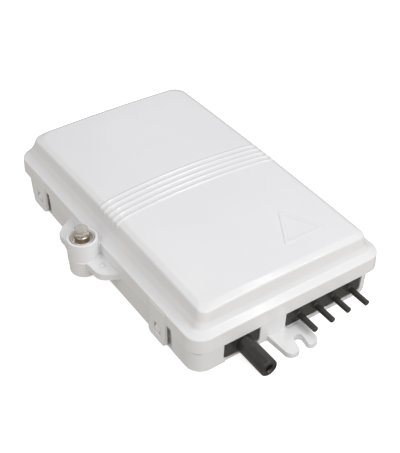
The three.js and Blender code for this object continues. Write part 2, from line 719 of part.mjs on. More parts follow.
const FINISH = {
  shell: { color: 0xe7e7e8, roughness: 0.28, metalness: 0 },
  rubber: { color: 0x232325, roughness: 0.65, metalness: 0 },
  foam: { color: 0x3a3a3c, roughness: 0.9, metalness: 0 },
  nickel: { color: 0xb9b6ae, roughness: 0.2, metalness: 1 },
  steel: { color: 0xa8a9ab, roughness: 0.3, metalness: 1 },
  brass: { color: 0xc2a14f, roughness: 0.3, metalness: 1 },
  tray: { color: 0xdfe0e1, roughness: 0.5, metalness: 0 },
  clear: { color: 0xdfe8ea, roughness: 0.1, metalness: 0 },
  adapter: { color: 0x2f8f57, roughness: 0.45, metalness: 0 },
  cap: { color: 0xd8d5cf, roughness: 0.6, metalness: 0 },
};

const box = new THREE.Group();

function addNode(name, solid, finish) {
  const mesh = new THREE.Mesh(toGeometry(solid), new THREE.MeshStandardMaterial(FINISH[finish]));
  mesh.name = name;
  box.add(mesh);
}

addNode('base_tray', makeBase(), 'shell');
addNode('cover', makeCover(), 'shell');
addNode('cover_gasket', makeGasket(), 'foam');
addNode('snap_tab_front', makeSnapTab(TAB.ys[0]), 'shell');
addNode('snap_tab_rear', makeSnapTab(TAB.ys[1]), 'shell');
addNode('hinge_pin_front', makeHingePin(HINGE.ys[0]), 'steel');
addNode('hinge_pin_rear', makeHingePin(HINGE.ys[1]), 'steel');
addNode('inlet_seal', makeInletSeal(), 'rubber');
addNode('outlet_seal', makeOutletSeal(), 'rubber');
addNode('lock_bolt', makeLockBolt(), 'nickel');
addNode('lock_retainer', makeLockRetainer(), 'steel');
addNode('lock_sleeve', makeLockSleeve(), 'nickel');
addNode('lock_insert', makeLockInsert(), 'brass');
addNode('splice_tray', makeTray(), 'tray');
addNode('splice_tray_lid', makeTrayLid(), 'clear');
addNode('splice_holder', makeSpliceHolder(), 'rubber');
addNode('adapter_bracket', makeAdapterBracket(), 'tray');
ADAPTER.xs.forEach((x, i) => {
  addNode(`sc_adapter_${i + 1}`, makeAdapter(x), 'adapter');
  addNode(`outer_dust_cap_${i + 1}`, makeDustCap(x, -1), 'cap');
  addNode(`inner_dust_cap_${i + 1}`, makeDustCap(x, 1), 'cap');
});
addNode('cable_clamp', makeCableClamp(), 'tray');
addNode('drop_cable_comb', makeComb(), 'tray');
addNode('strength_member_post', makeStrengthPost(), 'brass');
addNode('strength_member_screw', makeScrew(INLET.x, STRENGTH_POST.y, STRENGTH_POST.top), 'steel');
Object.entries(SCREWED).forEach(([name, { xs, y, seat }]) => xs.forEach((x, i) => {
  addNode(`${name}_screw_${i + 1}`, makeScrew(x, y, seat), 'steel');
}));
GUIDES.forEach(([x, y, turn], i) => {
  addNode(`fibre_guide_${i + 1}`, makeFibreGuide(x, y, turn), 'tray');
});

export default box;
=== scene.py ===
"""Looks for the fiber termination box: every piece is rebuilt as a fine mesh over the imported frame."""

import json
import math

import bmesh
import bpy
from mathutils import Matrix, Vector

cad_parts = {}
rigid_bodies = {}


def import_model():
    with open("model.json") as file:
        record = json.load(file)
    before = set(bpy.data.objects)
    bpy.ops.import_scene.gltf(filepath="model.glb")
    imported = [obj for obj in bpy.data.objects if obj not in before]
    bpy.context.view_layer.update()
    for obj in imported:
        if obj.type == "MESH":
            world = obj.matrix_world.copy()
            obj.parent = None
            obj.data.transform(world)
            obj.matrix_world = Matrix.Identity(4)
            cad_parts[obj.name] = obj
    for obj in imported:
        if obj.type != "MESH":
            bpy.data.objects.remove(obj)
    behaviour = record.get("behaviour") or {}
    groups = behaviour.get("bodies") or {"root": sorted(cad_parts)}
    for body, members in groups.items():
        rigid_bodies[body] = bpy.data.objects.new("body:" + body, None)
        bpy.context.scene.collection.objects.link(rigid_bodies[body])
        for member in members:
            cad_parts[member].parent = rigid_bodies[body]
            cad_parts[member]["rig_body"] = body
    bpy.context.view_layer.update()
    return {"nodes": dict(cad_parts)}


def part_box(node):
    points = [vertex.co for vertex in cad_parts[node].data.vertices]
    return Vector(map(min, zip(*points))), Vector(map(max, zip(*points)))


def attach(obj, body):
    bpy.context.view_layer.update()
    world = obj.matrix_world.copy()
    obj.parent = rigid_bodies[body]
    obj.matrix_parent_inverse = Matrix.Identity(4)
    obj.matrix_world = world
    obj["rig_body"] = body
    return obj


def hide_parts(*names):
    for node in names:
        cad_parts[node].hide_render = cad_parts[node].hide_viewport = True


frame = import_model()

scene = bpy.context.scene
MM = 0.001  # sizes are in millimetres, as in the CAD source, apart from the floor and the lamps

# ---- driving sizes

GAP = 0.3  # clearance between pieces that move or press together
SEAM = 0.06  # the closed joint between base and cover, as it shows
WALL = 2.2


def box_mm(node):
    low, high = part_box(node)
    return low / MM, high / MM


COVER_HIGH = box_mm("cover")[1]
COVER_X = COVER_HIGH.x
COVER_Y = COVER_HIGH.y
COVER_CORNER = 10.1
DOME_FOOT = (5.6, 5.2, 0.2)  # inset, corner radius there and its growth per mm further in
BASE = (-63.3, 57.5, -100.0, 93.0)  # x0, x1, y0, y1 of the base at the parting
BASE_CORNER = 10.0
FLOOR = 2.4
PARTING = 14.4
RIM = 24.0
DOME = 37.4
CROWN = (1.1, 1.4)  # extra height across the width and along the length
CROWN_EDGE = (8.6, 6.6)  # inset on the long and the short sides where that height is used up
TONGUE_INSET = 1.7
TONGUE_THICK = 1.5
TONGUE_TOP = 16.6
CHANNEL_TOP = 18.7

RIDGE_Y = -1.5
RIDGE_PITCH = 4.5
RIDGE_BOW = 3.0
BOW_EDGE = 9.0  # inset on the long sides where the rows stop curving
BOW_REACH = 70.0  # how far from the middle of the length the rows still curve
RIDGE_HALF = 1.35
RIDGE_RISE = 0.5

LOCK = Vector((-71.5, 0, 0))
LOCK_RADIUS = 9.0
LOCK_TOP = 28.8
LOCK_BORE = 6.9
WING = 2.1
WING_DIMPLE = (-68.0, -15.3)
THREAD = 2.35  # radius of the bolt's threaded part
BOLT_SHOULDER = 4.3
HEX_RADIUS = 4.3
HEX_TURN = 12  # degrees that the hexagon is turned by

TAB_X = (-64.8, -62.7)
TAB_WIDTH = 16.0
TAB_HEIGHTS = (0.65, 22.6)
TAB_WINDOW = (5.2, 11.2)
TAB_LEAN = 1.0  # how far the outer face leans in from foot to top
TAB_ROOM = (4.5, 0.6)  # width of the pocket on the near and the far side of a tab
TAB_BACKING = (14.0, 12.6)  # reach of the wall behind a pocket to the near and the far side
SIDE_WALL = -62.4  # where the pockets and notches beside the tabs end

SINK_MARKS = ((-39.7, 37.6), (-50.3, -21.2), (31.1, -10.9))  # small dimples of the moulding
SIGN_AT = Vector((24.4, -69.3))
SIGN_OUTER = (16.9, 1.1)  # reach and corner radius of the raised triangle's outline
SIGN_INNER = (12.4, 0.25)
PRY_AT = (-60.4, -97.1)  # middle of the notch for opening the cover
PRY_RADIUS = 6.0
PRY_DEPTH = 1.05

HINGE_X = 60.6
HINGE_Z = 11.4
HINGE_LENGTH = 24.0
KNUCKLE_RADIUS = 2.6
PIN_RADIUS = 1.1
PIN_BORE = 1.4


def middle_of(node):
    low, high = box_mm(node)
    return (low + high) / 2


TAB_YS = {side: middle_of("snap_tab_" + side).y for side in ("front", "rear")}
HINGE_YS = {side: middle_of("hinge_pin_" + side).y for side in ("front", "rear")}
INLET = Vector((-32.5, box_mm("inlet_seal")[0].y, 8.6))  # the nozzle's tip
INLET_FACE = (-45.2, -22.0)
OUTLET_XS = (5.0, 17.0, 29.0, 41.0)
OUTLET_SHORTER = (0, 0.2, 1.3, 0)  # how much each nozzle is shorter than the longest
OUTLET_ROUNDING = (1.5, 1.3, 0.25, 0.25)
OUTLET_FACE = (-5.0, 48.1)
OUTLET_TIP = box_mm("outlet_seal")[0].y
OUTLET_Z = 7.6
SEAL_Z = (3.4, 14.4)
SEAL_FACE = -99.1
SEAL_BACK = -92.5
CLEARANCE_HOLE = 1.9
PILOT_HOLE = 1.25

# ---- mesh tools


def to_object(name, bm):
    bmesh.ops.recalc_face_normals(bm, faces=bm.faces)
    mesh = bpy.data.meshes.new(name)
    bm.to_mesh(mesh)
    bm.free()
    obj = bpy.data.objects.new(name, mesh)
    scene.collection.objects.link(obj)
    return obj


def skin(bm, loops):
    """Quads between neighbouring closed loops of vertices."""
    for low, high in zip(loops, loops[1:]):
        for i in range(len(low)):
            j = (i + 1) % len(low)
            bm.faces.new((low[i], low[j], high[j], high[i]))


def loft(rings, ends="capped"):
    """A solid through a list of rings of points; ends are capped, or joined to each other."""
    bm = bmesh.new()
    loops = [[bm.verts.new(p) for p in ring] for ring in rings]
    if ends == "capped":
        skin(bm, loops)
        bm.faces.new(reversed(loops[0]))
        bm.faces.new(loops[-1])
    else:
        skin(bm, loops + [loops[0]])
    return to_object("tool", bm)


def softened(points, radii, steps=5):
    """An open profile whose inner corners are rounded by true arcs of the given radii."""
    profile = [points[0]]
    for before, corner, after, radius in zip(points, points[1:], points[2:], radii):
        if radius == 0:
            profile.append(corner)
            continue
        p = Vector(corner)
        a = Vector(before) - p
        b = Vector(after) - p
        half = a.angle(b) / 2
        reach = min(radius / math.tan(half), 0.49 * a.length, 0.49 * b.length)
        start = p + a.normalized() * reach
        end = p + b.normalized() * reach
        weight = math.sin(half)
        for i in range(steps + 1):
            u = i / steps
            shares = ((1 - u) ** 2, 2 * u * (1 - u) * weight, u * u)
            total = sum(shares)
            point = (start * shares[0] + p * shares[1] + end * shares[2]) / total
            profile.append(tuple(point))
    profile.append(points[-1])
    return profile


def rounded(x0, x1, y0, y1, radius, steps=8):
    """Outline of a rounded rectangle, anticlockwise."""
    corners = (
        (x1 - radius, y1 - radius, 0),
        (x0 + radius, y1 - radius, 90),
        (x0 + radius, y0 + radius, 180),
        (x1 - radius, y0 + radius, 270),
    )
    outline = []
    for cx, cy, start in corners:
        for i in range(steps + 1):
            angle = math.radians(start + 90 * i / steps)
            outline.append((cx + radius * math.cos(angle), cy + radius * math.sin(angle)))
    return outline


def base_ring(inset, z, steps=10):
    x0, x1, y0, y1 = BASE
    radius = max(BASE_CORNER - inset, 0.8)
    outline = rounded(x0 + inset, x1 - inset, y0 + inset, y1 - inset, radius, steps)
    return [(x, y, z) for x, y in outline]


def base_loft(profile, ends="capped"):
    """A solid that follows the base's outline; the profile lists (inset, z)."""
    return loft([base_ring(inset, z) for inset, z in profile], ends)


def bevel(bm, edges, size, steps):
    """Rounds the edges, unless size is nil."""
    if size:
        bmesh.ops.bevel(
            bm, geom=edges, offset=size, segments=steps, profile=0.5,
            affect="EDGES", clamp_overlap=True,
        )


def slab(outline, z0, z1, edge=0.3, steps=3):
    """A flat plate from an outline, with its upper and lower edges rounded."""
    bm = bmesh.new()
    low = [bm.verts.new((x, y, z0)) for x, y in outline]
    high = [bm.verts.new((x, y, z1)) for x, y in outline]
    bottom = bm.faces.new(reversed(low))
    top = bm.faces.new(high)
    skin(bm, [low, high])
    bevel(bm, list(bottom.edges) + list(top.edges), edge, steps)
    return to_object("tool", bm)


# What a plate's drawn x, drawn y and thickness become when it stands up, as rows for x, y and z.
ACROSS_X = ((0, 0, 1), (0, 1, 0), (1, 0, 0))  # drawn as (z, y)
ACROSS_Y = ((1, 0, 0), (0, 0, 1), (0, 1, 0))  # drawn as (x, z)
ACROSS_Y_DOWN = ((1, 0, 0), (0, 0, 1), (0, -1, 0))  # drawn as (x, -z)
ACROSS_Y_BACK = ((1, 0, 0), (0, 0, -1), (0, 1, 0))  # drawn as (x, z), its thickness toward -y


def stood(plate, rows):
    """The plate after its axes are exchanged, with its faces still looking outward."""
    turn = Matrix(rows).to_4x4()
    plate.data.transform(turn)
    if turn.determinant() < 0:
        plate.data.flip_normals()
    return plate


def brick(x0, x1, y0, y1, z0, z1, edge=0.25, steps=2):
    """A block with all its edges rounded."""
    bm = bmesh.new()
    bmesh.ops.create_cube(bm, size=1)
    for v in bm.verts:
        v.co = Vector((
            x1 if v.co.x > 0 else x0,
            y1 if v.co.y > 0 else y0,
            z1 if v.co.z > 0 else z0,
        ))
    bevel(bm, list(bm.edges), edge, steps)
    return to_object("tool", bm)


def turned(profile, at=(0, 0, 0), along="Z", steps=48):
    """A turned solid from (radius, height) points that close, or start and end on the axis."""
    bm = bmesh.new()
    on_axis = profile[0][0] == 0 and profile[-1][0] == 0
    inner = profile[1:-1] if on_axis else profile
    angles = [2 * math.pi * i / steps for i in range(steps)]
    loops = []
    for radius, height in inner:
        ring = [(radius * math.cos(a), radius * math.sin(a), height) for a in angles]
        loops.append([bm.verts.new(p) for p in ring])
    if on_axis:
        skin(bm, loops)
        for end, loop in ((profile[0], loops[0]), (profile[-1], loops[-1])):
            tip = bm.verts.new((0, 0, end[1]))
            for i in range(steps):
                bm.faces.new((loop[i], loop[(i + 1) % steps], tip))
    else:
        skin(bm, loops + [loops[0]])
    if along == "Y":
        bm.transform(Matrix.Rotation(math.radians(-90), 4, "X"))
    if along == "X":
        bm.transform(Matrix.Rotation(math.radians(90), 4, "Y"))
    bm.transform(Matrix.Translation(Vector(at)))
    return to_object("tool", bm)


def rod(radius, z0, z1, at, along="Z", edge=0.3, steps=40):
    """A round bar with rounded ends, from z0 to z1 along its axis."""
    corners = [(0, z0), (radius, z0), (radius, z1), (0, z1)]
    return turned(softened(corners, [edge, edge], 3), at, along, steps)


def tube(outer, inner, z0, z1, at, along="Z", edge=0.3, steps=40):
    """A round bar with a hole along it."""
    rim = softened([(inner, z0), (outer, z0), (outer, z1), (inner, z1)], [edge, edge], 3)
    return turned(rim, at, along, steps)


def boolean(body, tools, operation):
    """Applies the tools to the body one after another, and removes them."""
    for tool in tools:
        modifier = body.modifiers.new("cut", "BOOLEAN")
        modifier.operation = operation
        modifier.solver = "MANIFOLD"
        modifier.object = tool
    depsgraph = bpy.context.evaluated_depsgraph_get()
    mesh = bpy.data.meshes.new_from_object(body.evaluated_get(depsgraph))
    body.modifiers.clear()
    old = body.data
    body.data = mesh
    bpy.data.meshes.remove(old)
    for tool in tools:
        spare = tool.data
        bpy.data.objects.remove(tool)
        bpy.data.meshes.remove(spare)
    return body


def join(body, *tools):
    return boolean(body, tools, "UNION")


def cut(body, *tools):
    return boolean(body, tools, "DIFFERENCE")


def piece(obj, name, node, material, sharp=32):
    """Turns a modelled solid into the visible piece that stands for a CAD node."""
    obj.name = name
    obj.data.name = name
    obj.data.transform(Matrix.Scale(MM, 4))
    obj.data.materials.clear()
    obj.data.materials.append(MATERIALS[material])
    obj.data.shade_smooth()
    obj.data.set_sharp_from_angle(angle=math.radians(sharp))
    weighted = obj.modifiers.new("normals", "WEIGHTED_NORMAL")
    weighted.keep_sharp = True
    weighted.weight = 80
    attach(obj, frame["nodes"][node]["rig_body"])
    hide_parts(node)
    return obj


# ---- materials


NOISE_SPAN = (0.3, 0.7)  # where most of a noise's values lie


def feed(node, **values):
    """Sets a node's inputs; an underscore stands for a space in an input's name."""
    for name, value in values.items():
        node.inputs[name.replace("_", " ")].default_value = value


def set_ramp(ramp, positions, colours):
    for element, position, colour in zip(ramp.color_ramp.elements, positions, colours):
        element.position = position
        element.color = (*colour, 1)


class Shader:
    """A small wrapper that adds and links shader nodes."""

    def __init__(self, name):
        self.material = bpy.data.materials.new(name)
        self.material.use_nodes = True
        self.tree = self.material.node_tree
        self.main = self.tree.nodes["Principled BSDF"]
        self.position = self.add("ShaderNodeTexCoord").outputs["Object"]

    def add(self, kind, **settings):
        node = self.tree.nodes.new(kind)
        for key, value in settings.items():
            setattr(node, key, value)
        return node

    def link(self, source, target):
        self.tree.links.new(source, target)

    def noise(self, size_mm, detail=2.0, stretch=(1, 1, 1)):
        """Noise whose features are about size_mm across."""
        mapping = self.add("ShaderNodeMapping")
        feed(mapping, Scale=[s / (size_mm * MM) for s in stretch])
        noise = self.add("ShaderNodeTexNoise")
        feed(noise, Scale=1.0, Detail=detail)
        self.link(self.position, mapping.inputs["Vector"])
        self.link(mapping.outputs["Vector"], noise.inputs["Vector"])
        return noise.outputs["Fac"]

    def between(self, factor, low, high):
        """Spreads a noise factor over low..high."""
        spread = self.add("ShaderNodeMapRange")
        feed(spread, From_Min=NOISE_SPAN[0], From_Max=NOISE_SPAN[1], To_Min=low, To_Max=high)
        self.link(factor, spread.inputs["Value"])
        return spread.outputs["Result"]

    def tint(self, factor, dark, light):
        ramp = self.add("ShaderNodeValToRGB")
        set_ramp(ramp, NOISE_SPAN, (dark, light))
        self.link(factor, ramp.inputs["Fac"])
        self.link(ramp.outputs["Color"], self.main.inputs["Base Color"])

    def roughness(self, factor, low, high):
        self.link(self.between(factor, low, high), self.main.inputs["Roughness"])

    def relief(self, factor, height_mm, rounding_mm=0.0):
        """Surface relief of about height_mm, over edges softened by rounding_mm."""
        bump = self.add("ShaderNodeBump")
        feed(bump, Strength=1.0, Distance=height_mm * MM)
        self.link(factor, bump.inputs["Height"])
        if rounding_mm:
            rounding = self.add("ShaderNodeBevel", samples=4)
            feed(rounding, Radius=rounding_mm * MM)
            self.link(rounding.outputs["Normal"], bump.inputs["Normal"])
        self.link(bump.outputs["Normal"], self.main.inputs["Normal"])


def shell_abs():
    s = Shader("shell_abs")
    s.tint(s.noise(45), (0.775, 0.778, 0.788), (0.795, 0.797, 0.805))
    s.roughness(s.noise(6), 0.11, 0.16)
    s.relief(s.noise(2.2, 1), 0.004, 0.35)
    feed(s.main, IOR=1.5)
    return s.material


def seal_rubber():
    s = Shader("seal_rubber")
    s.tint(s.noise(3, 4), (0.022, 0.021, 0.02), (0.034, 0.033, 0.031))
    s.roughness(s.noise(1.5, 3), 0.26, 0.4)
    s.relief(s.noise(0.5, 3), 0.012, 0.25)
    return s.material


def foam():
    s = Shader("foam")
    s.tint(s.noise(0.8, 4), (0.025, 0.025, 0.027), (0.06, 0.06, 0.062))
    s.roughness(s.noise(0.6, 3), 0.8, 0.95)
    s.relief(s.noise(0.35, 4), 0.08)
    return s.material


def metal(name, dark, light, rough, grain):
    """Plated or turned metal; grain stretches the fine marks left by machining."""
    s = Shader(name)
    feed(s.main, Metallic=1.0)
    s.tint(s.noise(4, 3), dark, light)
    s.roughness(s.noise(0.6, 3, grain), *rough)
    s.relief(s.noise(0.25, 2, grain), 0.002, 0.12)
    return s.material


def tray_plastic():
    s = Shader("tray_plastic")
    s.tint(s.noise(30), (0.66, 0.67, 0.68), (0.71, 0.72, 0.73))
    s.roughness(s.noise(4), 0.38, 0.5)
    s.relief(s.noise(0.5, 3), 0.01, 0.2)
    return s.material


def clear_lid():
    s = Shader("clear_lid")
    s.tint(s.noise(40), (0.93, 0.96, 0.97), (0.97, 0.985, 0.99))
    s.roughness(s.noise(8), 0.04, 0.1)
    s.relief(s.noise(6, 1), 0.01, 0.15)
    feed(s.main, Transmission_Weight=0.92, IOR=1.5, Alpha=0.35)
    return s.material


def holder_rubber():
    s = Shader("holder_rubber")
    s.tint(s.noise(4, 3), (0.07, 0.07, 0.08), (0.11, 0.11, 0.12))
    s.roughness(s.noise(1.5, 3), 0.55, 0.7)
    s.relief(s.noise(0.5, 3), 0.015, 0.2)
    return s.material


def adapter_green():
    s = Shader("adapter_green")
    s.tint(s.noise(5, 3), (0.012, 0.2, 0.065), (0.018, 0.25, 0.085))
    s.roughness(s.noise(2), 0.3, 0.42)
    s.relief(s.noise(0.6, 3), 0.01, 0.2)
    return s.material


def dust_cap():
    s = Shader("dust_cap")
    s.tint(s.noise(6, 2), (0.62, 0.6, 0.55), (0.7, 0.68, 0.63))
    s.roughness(s.noise(3), 0.4, 0.55)
    s.relief(s.noise(0.8, 3), 0.01, 0.3)
    feed(s.main, Subsurface_Weight=0.3, Subsurface_Scale=0.003)
    return s.material


PLASTICS = (
    shell_abs, seal_rubber, foam, tray_plastic, clear_lid, holder_rubber, adapter_green, dust_cap
)
MATERIALS = {make.__name__: make() for make in PLASTICS}
MATERIALS |= {
    "nickel": metal("nickel", (0.6, 0.56, 0.5), (0.68, 0.64, 0.57), (0.1, 0.2), (0.3, 0.3, 2)),
    "satin_nickel": metal("satin_nickel", (0.84, 0.8, 0.74), (0.9, 0.86, 0.8), (0.4, 0.5), (1, 1, 1)),
    "steel": metal("steel", (0.5, 0.5, 0.51), (0.6, 0.6, 0.61), (0.22, 0.34), (1, 1, 1)),
    "brass": metal("brass", (0.68, 0.5, 0.2), (0.78, 0.6, 0.28), (0.2, 0.3), (0.3, 0.3, 2)),
}

# ---- cover


def crown_at(x, y):
    """Extra height of the dome's top at a place."""
    across = 1 - (x / (COVER_X - CROWN_EDGE[0])) ** 2
    along = 1 - (y / (COVER_Y - CROWN_EDGE[1])) ** 2
    return CROWN[0] * across + CROWN[1] * along


# The cover's section on its long sides as (inset from the outline, height), and the radii at its
# inner corners. INSET_Y and INSET_FAR say what INSET_X becomes at the cable end, where the flank
# is steeper, and at the far end, where it slopes more above a thin ledge. CORNER_FAR is the least
# corner radius at the far end.
COVER_CORNERS = [
    (1.5, PARTING + SEAM), (0.0, PARTING + SEAM), (0.32, RIM - 0.1), (5.6, RIM + 1.35),
    (7.6, RIM + 5.4), (8.75, DOME - 1.6), (12.2, DOME + 0.05), (14.0, DOME),
]
COVER_RADII = [0.14, 0.7, 1.7, 4.0, 2.0, 3.5]
INSET_X = (0, 0.4, 5.6, 6.8, 7.8, 8.6, 9.4, 11.4, 14)
INSET_Y = (0, 0.4, 4.9, 5.6, 6.1, 6.6, 7.3, 9.2, 11.8)
INSET_FAR = (0, 0.4, 1.6, 2.6, 3.8, 5.2, 6.3, 8.4, 11.0)
CORNER_FAR = (10.1, 10.0, 6.0, 6.0, 6.5, 7.5, 8.5, 9.0, 9.0)

# Heights between which the crown sets in, the ribs fade in up the flank, and their relief
# turns from sideways to upward.
CROWN_SETS_IN = (RIM + 5, DOME - 1.5)
RIBS_FADE_IN = (DOME - 5, DOME - 2)
RIBS_TURN_UP = (DOME - 2, DOME)

CORNER_STEPS = 12
COLUMNS = 56
ROW_END = 80
ROW_STEP = 8
RIDGE_ROWS = (-1.35, -1, -0.75, -0.5, -0.25, 0, 0.25, 0.5, 0.75, 1, 1.35)  # in half widths
LINES = range(-2, 3)  # the five lines of the band, counted from its middle


def ramp(value, start, end):
    """0 up to start, 1 from end on, and straight between them."""
    return min(max((value - start) / (end - start), 0), 1)


def lerp_table(value, xs, ys):
    """Reads ys at a value of xs, straight between the entries."""
    for x0, x1, y0, y1 in zip(xs, xs[1:], ys, ys[1:]):
        if value <= x1:
            return y0 + (y1 - y0) * (value - x0) / (x1 - x0)
    return ys[-1]


def refined(profile, step):
    """The profile with extra points, so that no stretch of it rises by much more than step."""
    fine = [profile[0]]
    for (x0, z0), (x1, z1) in zip(profile, profile[1:]):
        count = max(1, round(abs(z1 - z0) / step))
        for i in range(1, count + 1):
            fine.append((x0 + (x1 - x0) * i / count, z0 + (z1 - z0) * i / count))
    return fine


def side_rows():
    """Places along Y of the rows across the dome: close together only over the band."""
    far = [ROW_END - ROW_STEP * k for k in range(8)]
    band = []
    for k in LINES:
        middle = RIDGE_Y + RIDGE_PITCH * k
        band += [middle + RIDGE_HALF * share for share in RIDGE_ROWS]
    return [-y for y in far] + band + far[::-1]


SIDE_ROWS = side_rows()


def ridge_rise(row_y):
    """Height of the band's relief at a row, before the bow."""
    nearest = min(abs(row_y - RIDGE_Y - RIDGE_PITCH * k) for k in LINES)
    if nearest >= RIDGE_HALF:
        return 0.0
    return RIDGE_RISE * math.cos(math.pi / 2 * nearest / RIDGE_HALF) ** 1.5


def bow_at(x, row_y):
    """How far the band's lines curve toward +Y at the middle of the width."""
    share = max(0.0, 1 - (row_y / BOW_REACH) ** 2)
    return RIDGE_BOW * (1 - (x / (COVER_X - BOW_EDGE)) ** 2) * share


def cover_corner(inset):
    """The corners tighten from the skirt to the foot of the dome's walls, then widen a little."""
    foot, radius, growth = DOME_FOOT
    if inset > foot:
        return radius + growth * (inset - foot)
    return COVER_CORNER + (radius - COVER_CORNER) * inset / foot


def corner_arc(half_x, half_y, radius):
    """The rounded corner at the near right of a rectangle, from the near side to the right."""
    arc = []
    for i in range(1, CORNER_STEPS + 1):
        angle = math.pi / 2 * i / CORNER_STEPS
        x = half_x - radius + radius * math.sin(angle)
        y = -half_y + radius - radius * math.cos(angle)
        arc.append((x, y))
    return arc


def cover_ring(inset, z, crown=0.0):
    """Points round the cover, in the order of a grid's edge: near side, right, far side, left."""
    inset_y = lerp_table(inset, INSET_X, INSET_Y)
    half_x = COVER_X - inset
    half_y = COVER_Y - inset_y
    far_y = COVER_Y - lerp_table(inset, INSET_X, INSET_FAR)
    radius = cover_corner(inset_y)
    far_radius = max(radius, lerp_table(inset, INSET_X, CORNER_FAR))
    near_arc = corner_arc(half_x, half_y, radius)
    far_arc = corner_arc(half_x, far_y, far_radius)
    right = near_arc + [(half_x, y) for y in SIDE_ROWS] + [(x, -y) for x, y in reversed(far_arc)]
    steps = [2 * i / (COLUMNS - 1) - 1 for i in range(COLUMNS)]
    near = [((half_x - radius) * t, -half_y) for t in steps]
    far = [((half_x - far_radius) * t, far_y) for t in reversed(steps)]
    left = [(-x, y) for x, y in reversed(right)]
    return [(x, y, z + crown * crown_at(x, y)) for x, y in near + right + far + left]


# The long sides' rows with those of the corners, which carry no ribs.
RING_ROWS = [None] * CORNER_STEPS + SIDE_ROWS + [None] * CORNER_STEPS
SIDE = len(RING_ROWS)


def both_sides(k):
    """Where the kth row's right and left ends stand in a ring."""
    return COLUMNS + k, 2 * COLUMNS + 2 * SIDE - 1 - k


def flank_ribs(points, z):
    """Carries the band's relief down the dome's long flanks, by moving a ring's points."""
    fade = ramp(z, *RIBS_FADE_IN)
    fade = fade * fade * (3 - 2 * fade)
    upward = ramp(z, *RIBS_TURN_UP)
    for k, row_y in enumerate(RING_ROWS):
        if row_y is not None:
            rise = ridge_rise(row_y) * fade
            for index, sign in zip(both_sides(k), (1, -1)):
                x, y, height = points[index]
                points[index] = (x + sign * rise * (1 - upward), y, height + rise * upward)


def dome_top(bm, rim):
    """A grid of faces over the top, from the ring of vertices round it."""
    rows = [rim[:COLUMNS]]
    for k, row_y in enumerate(RING_ROWS):
        right, left = (rim[index] for index in both_sides(k))
        row = [left]
        for i in range(1, COLUMNS - 1):
            x = left.co.x + (right.co.x - left.co.x) * i / (COLUMNS - 1)
            y = left.co.y
            rise = 0.0
            if row_y is not None:
                y += bow_at(x, row_y)
                rise = ridge_rise(row_y)
            row.append(bm.verts.new((x, y, DOME + crown_at(x, y) + rise)))
        rows.append(row + [right])
    rows.append(list(reversed(rim[COLUMNS + SIDE:2 * COLUMNS + SIDE])))
    for low, high in zip(rows, rows[1:]):
        for i in range(COLUMNS - 1):
            bm.faces.new((low[i], low[i + 1], high[i + 1], high[i]))


def cover_outside():
    """The cover's outer form as one closed solid with a flat underside."""
    bm = bmesh.new()
    loops = []
    for inset, z in refined(softened(COVER_CORNERS, COVER_RADII, 6), 0.8):
        points = cover_ring(inset, z, ramp(z, *CROWN_SETS_IN))
        flank_ribs(points, z)
        loops.append([bm.verts.new(p) for p in points])
    skin(bm, loops)
    bm.faces.new(reversed(loops[0]))
    dome_top(bm, loops[-1])
    return to_object("tool", bm)


def cover_loft(profile):
    """A tool that follows the cover's outline; the profile lists (inset, z, crown share)."""
    return loft([cover_ring(inset, z, crown) for inset, z, crown in profile])


def wing_outline():
    """The wing plate by the lock: its far end is longer and has a sharper corner."""
    far = [(-62.0, 32.4), (-64.7, 31.2), (-68.2, 29.3), (-71.9, 26.3), (-74.6, 23.7), (-75.5, 20.0),
           (-75.4, 16.0), (-76.2, 11.6), (-77.4, 7.2)]
    near = [(-77.4, -4.0), (-74.9, -8.0), (-74.0, -11.5), (-73.8, -15.0), (-73.5, -18.0), (-72.4, -20.7),
            (-70.2, -22.5), (-67.0, -24.4), (-63.9, -26.0), (-62.0, -27.2)]
    return softened(far, [0, 0, 1.5, 2.2, 3, 3, 3], 4) + softened(near, [2] * 8, 4)


def hinge_parts(side, of_cover):
    """Knuckles and arms of one hinge: the middle third is the cover's, the outer two the base's."""
    y = HINGE_YS[side]
    third = HINGE_LENGTH / 3
    if of_cover:
        spans = ((y - third / 2 + GAP, y + third / 2 - GAP),)
        arm = ((HINGE_X - 2.2, 62.6), (HINGE_Z + 0.1, RIM - 1))
    else:
        spans = ((y - 1.5 * third, y - third / 2), (y + third / 2, y + 1.5 * third))
        arm = ((56.4, HINGE_X), (HINGE_Z - 2.55, HINGE_Z + 2.15))
    solids = []
    for y0, y1 in spans:
        solids.append(rod(KNUCKLE_RADIUS, y0, y1, (HINGE_X, 0, HINGE_Z), "Y"))
        solids.append(brick(*arm[0], y0 + 0.05, y1 - 0.05, *arm[1], 0.2))
    return solids


def bored_hinges(of_cover):
    knuckles = [solid for side in HINGE_YS for solid in hinge_parts(side, of_cover)]
    bores = [rod(PIN_BORE, y - 20, y + 20, (HINGE_X, 0, HINGE_Z), "Y", 0) for y in HINGE_YS.values()]
    return cut(join(*knuckles), *bores)


def triangle(reach, corner):
    """An upright triangle's outline with rounded corners, near the cable end of the dome."""
    outline = []
    for turn in (90, 210, 330):
        direction = Vector((math.cos(math.radians(turn)), math.sin(math.radians(turn))))
        middle = SIGN_AT + direction * (reach - 2 * corner)
        for i in range(7):
            angle = math.radians(turn - 60 + 20 * i)
            outline.append((middle.x + corner * math.cos(angle), middle.y + corner * math.sin(angle)))
    return outline


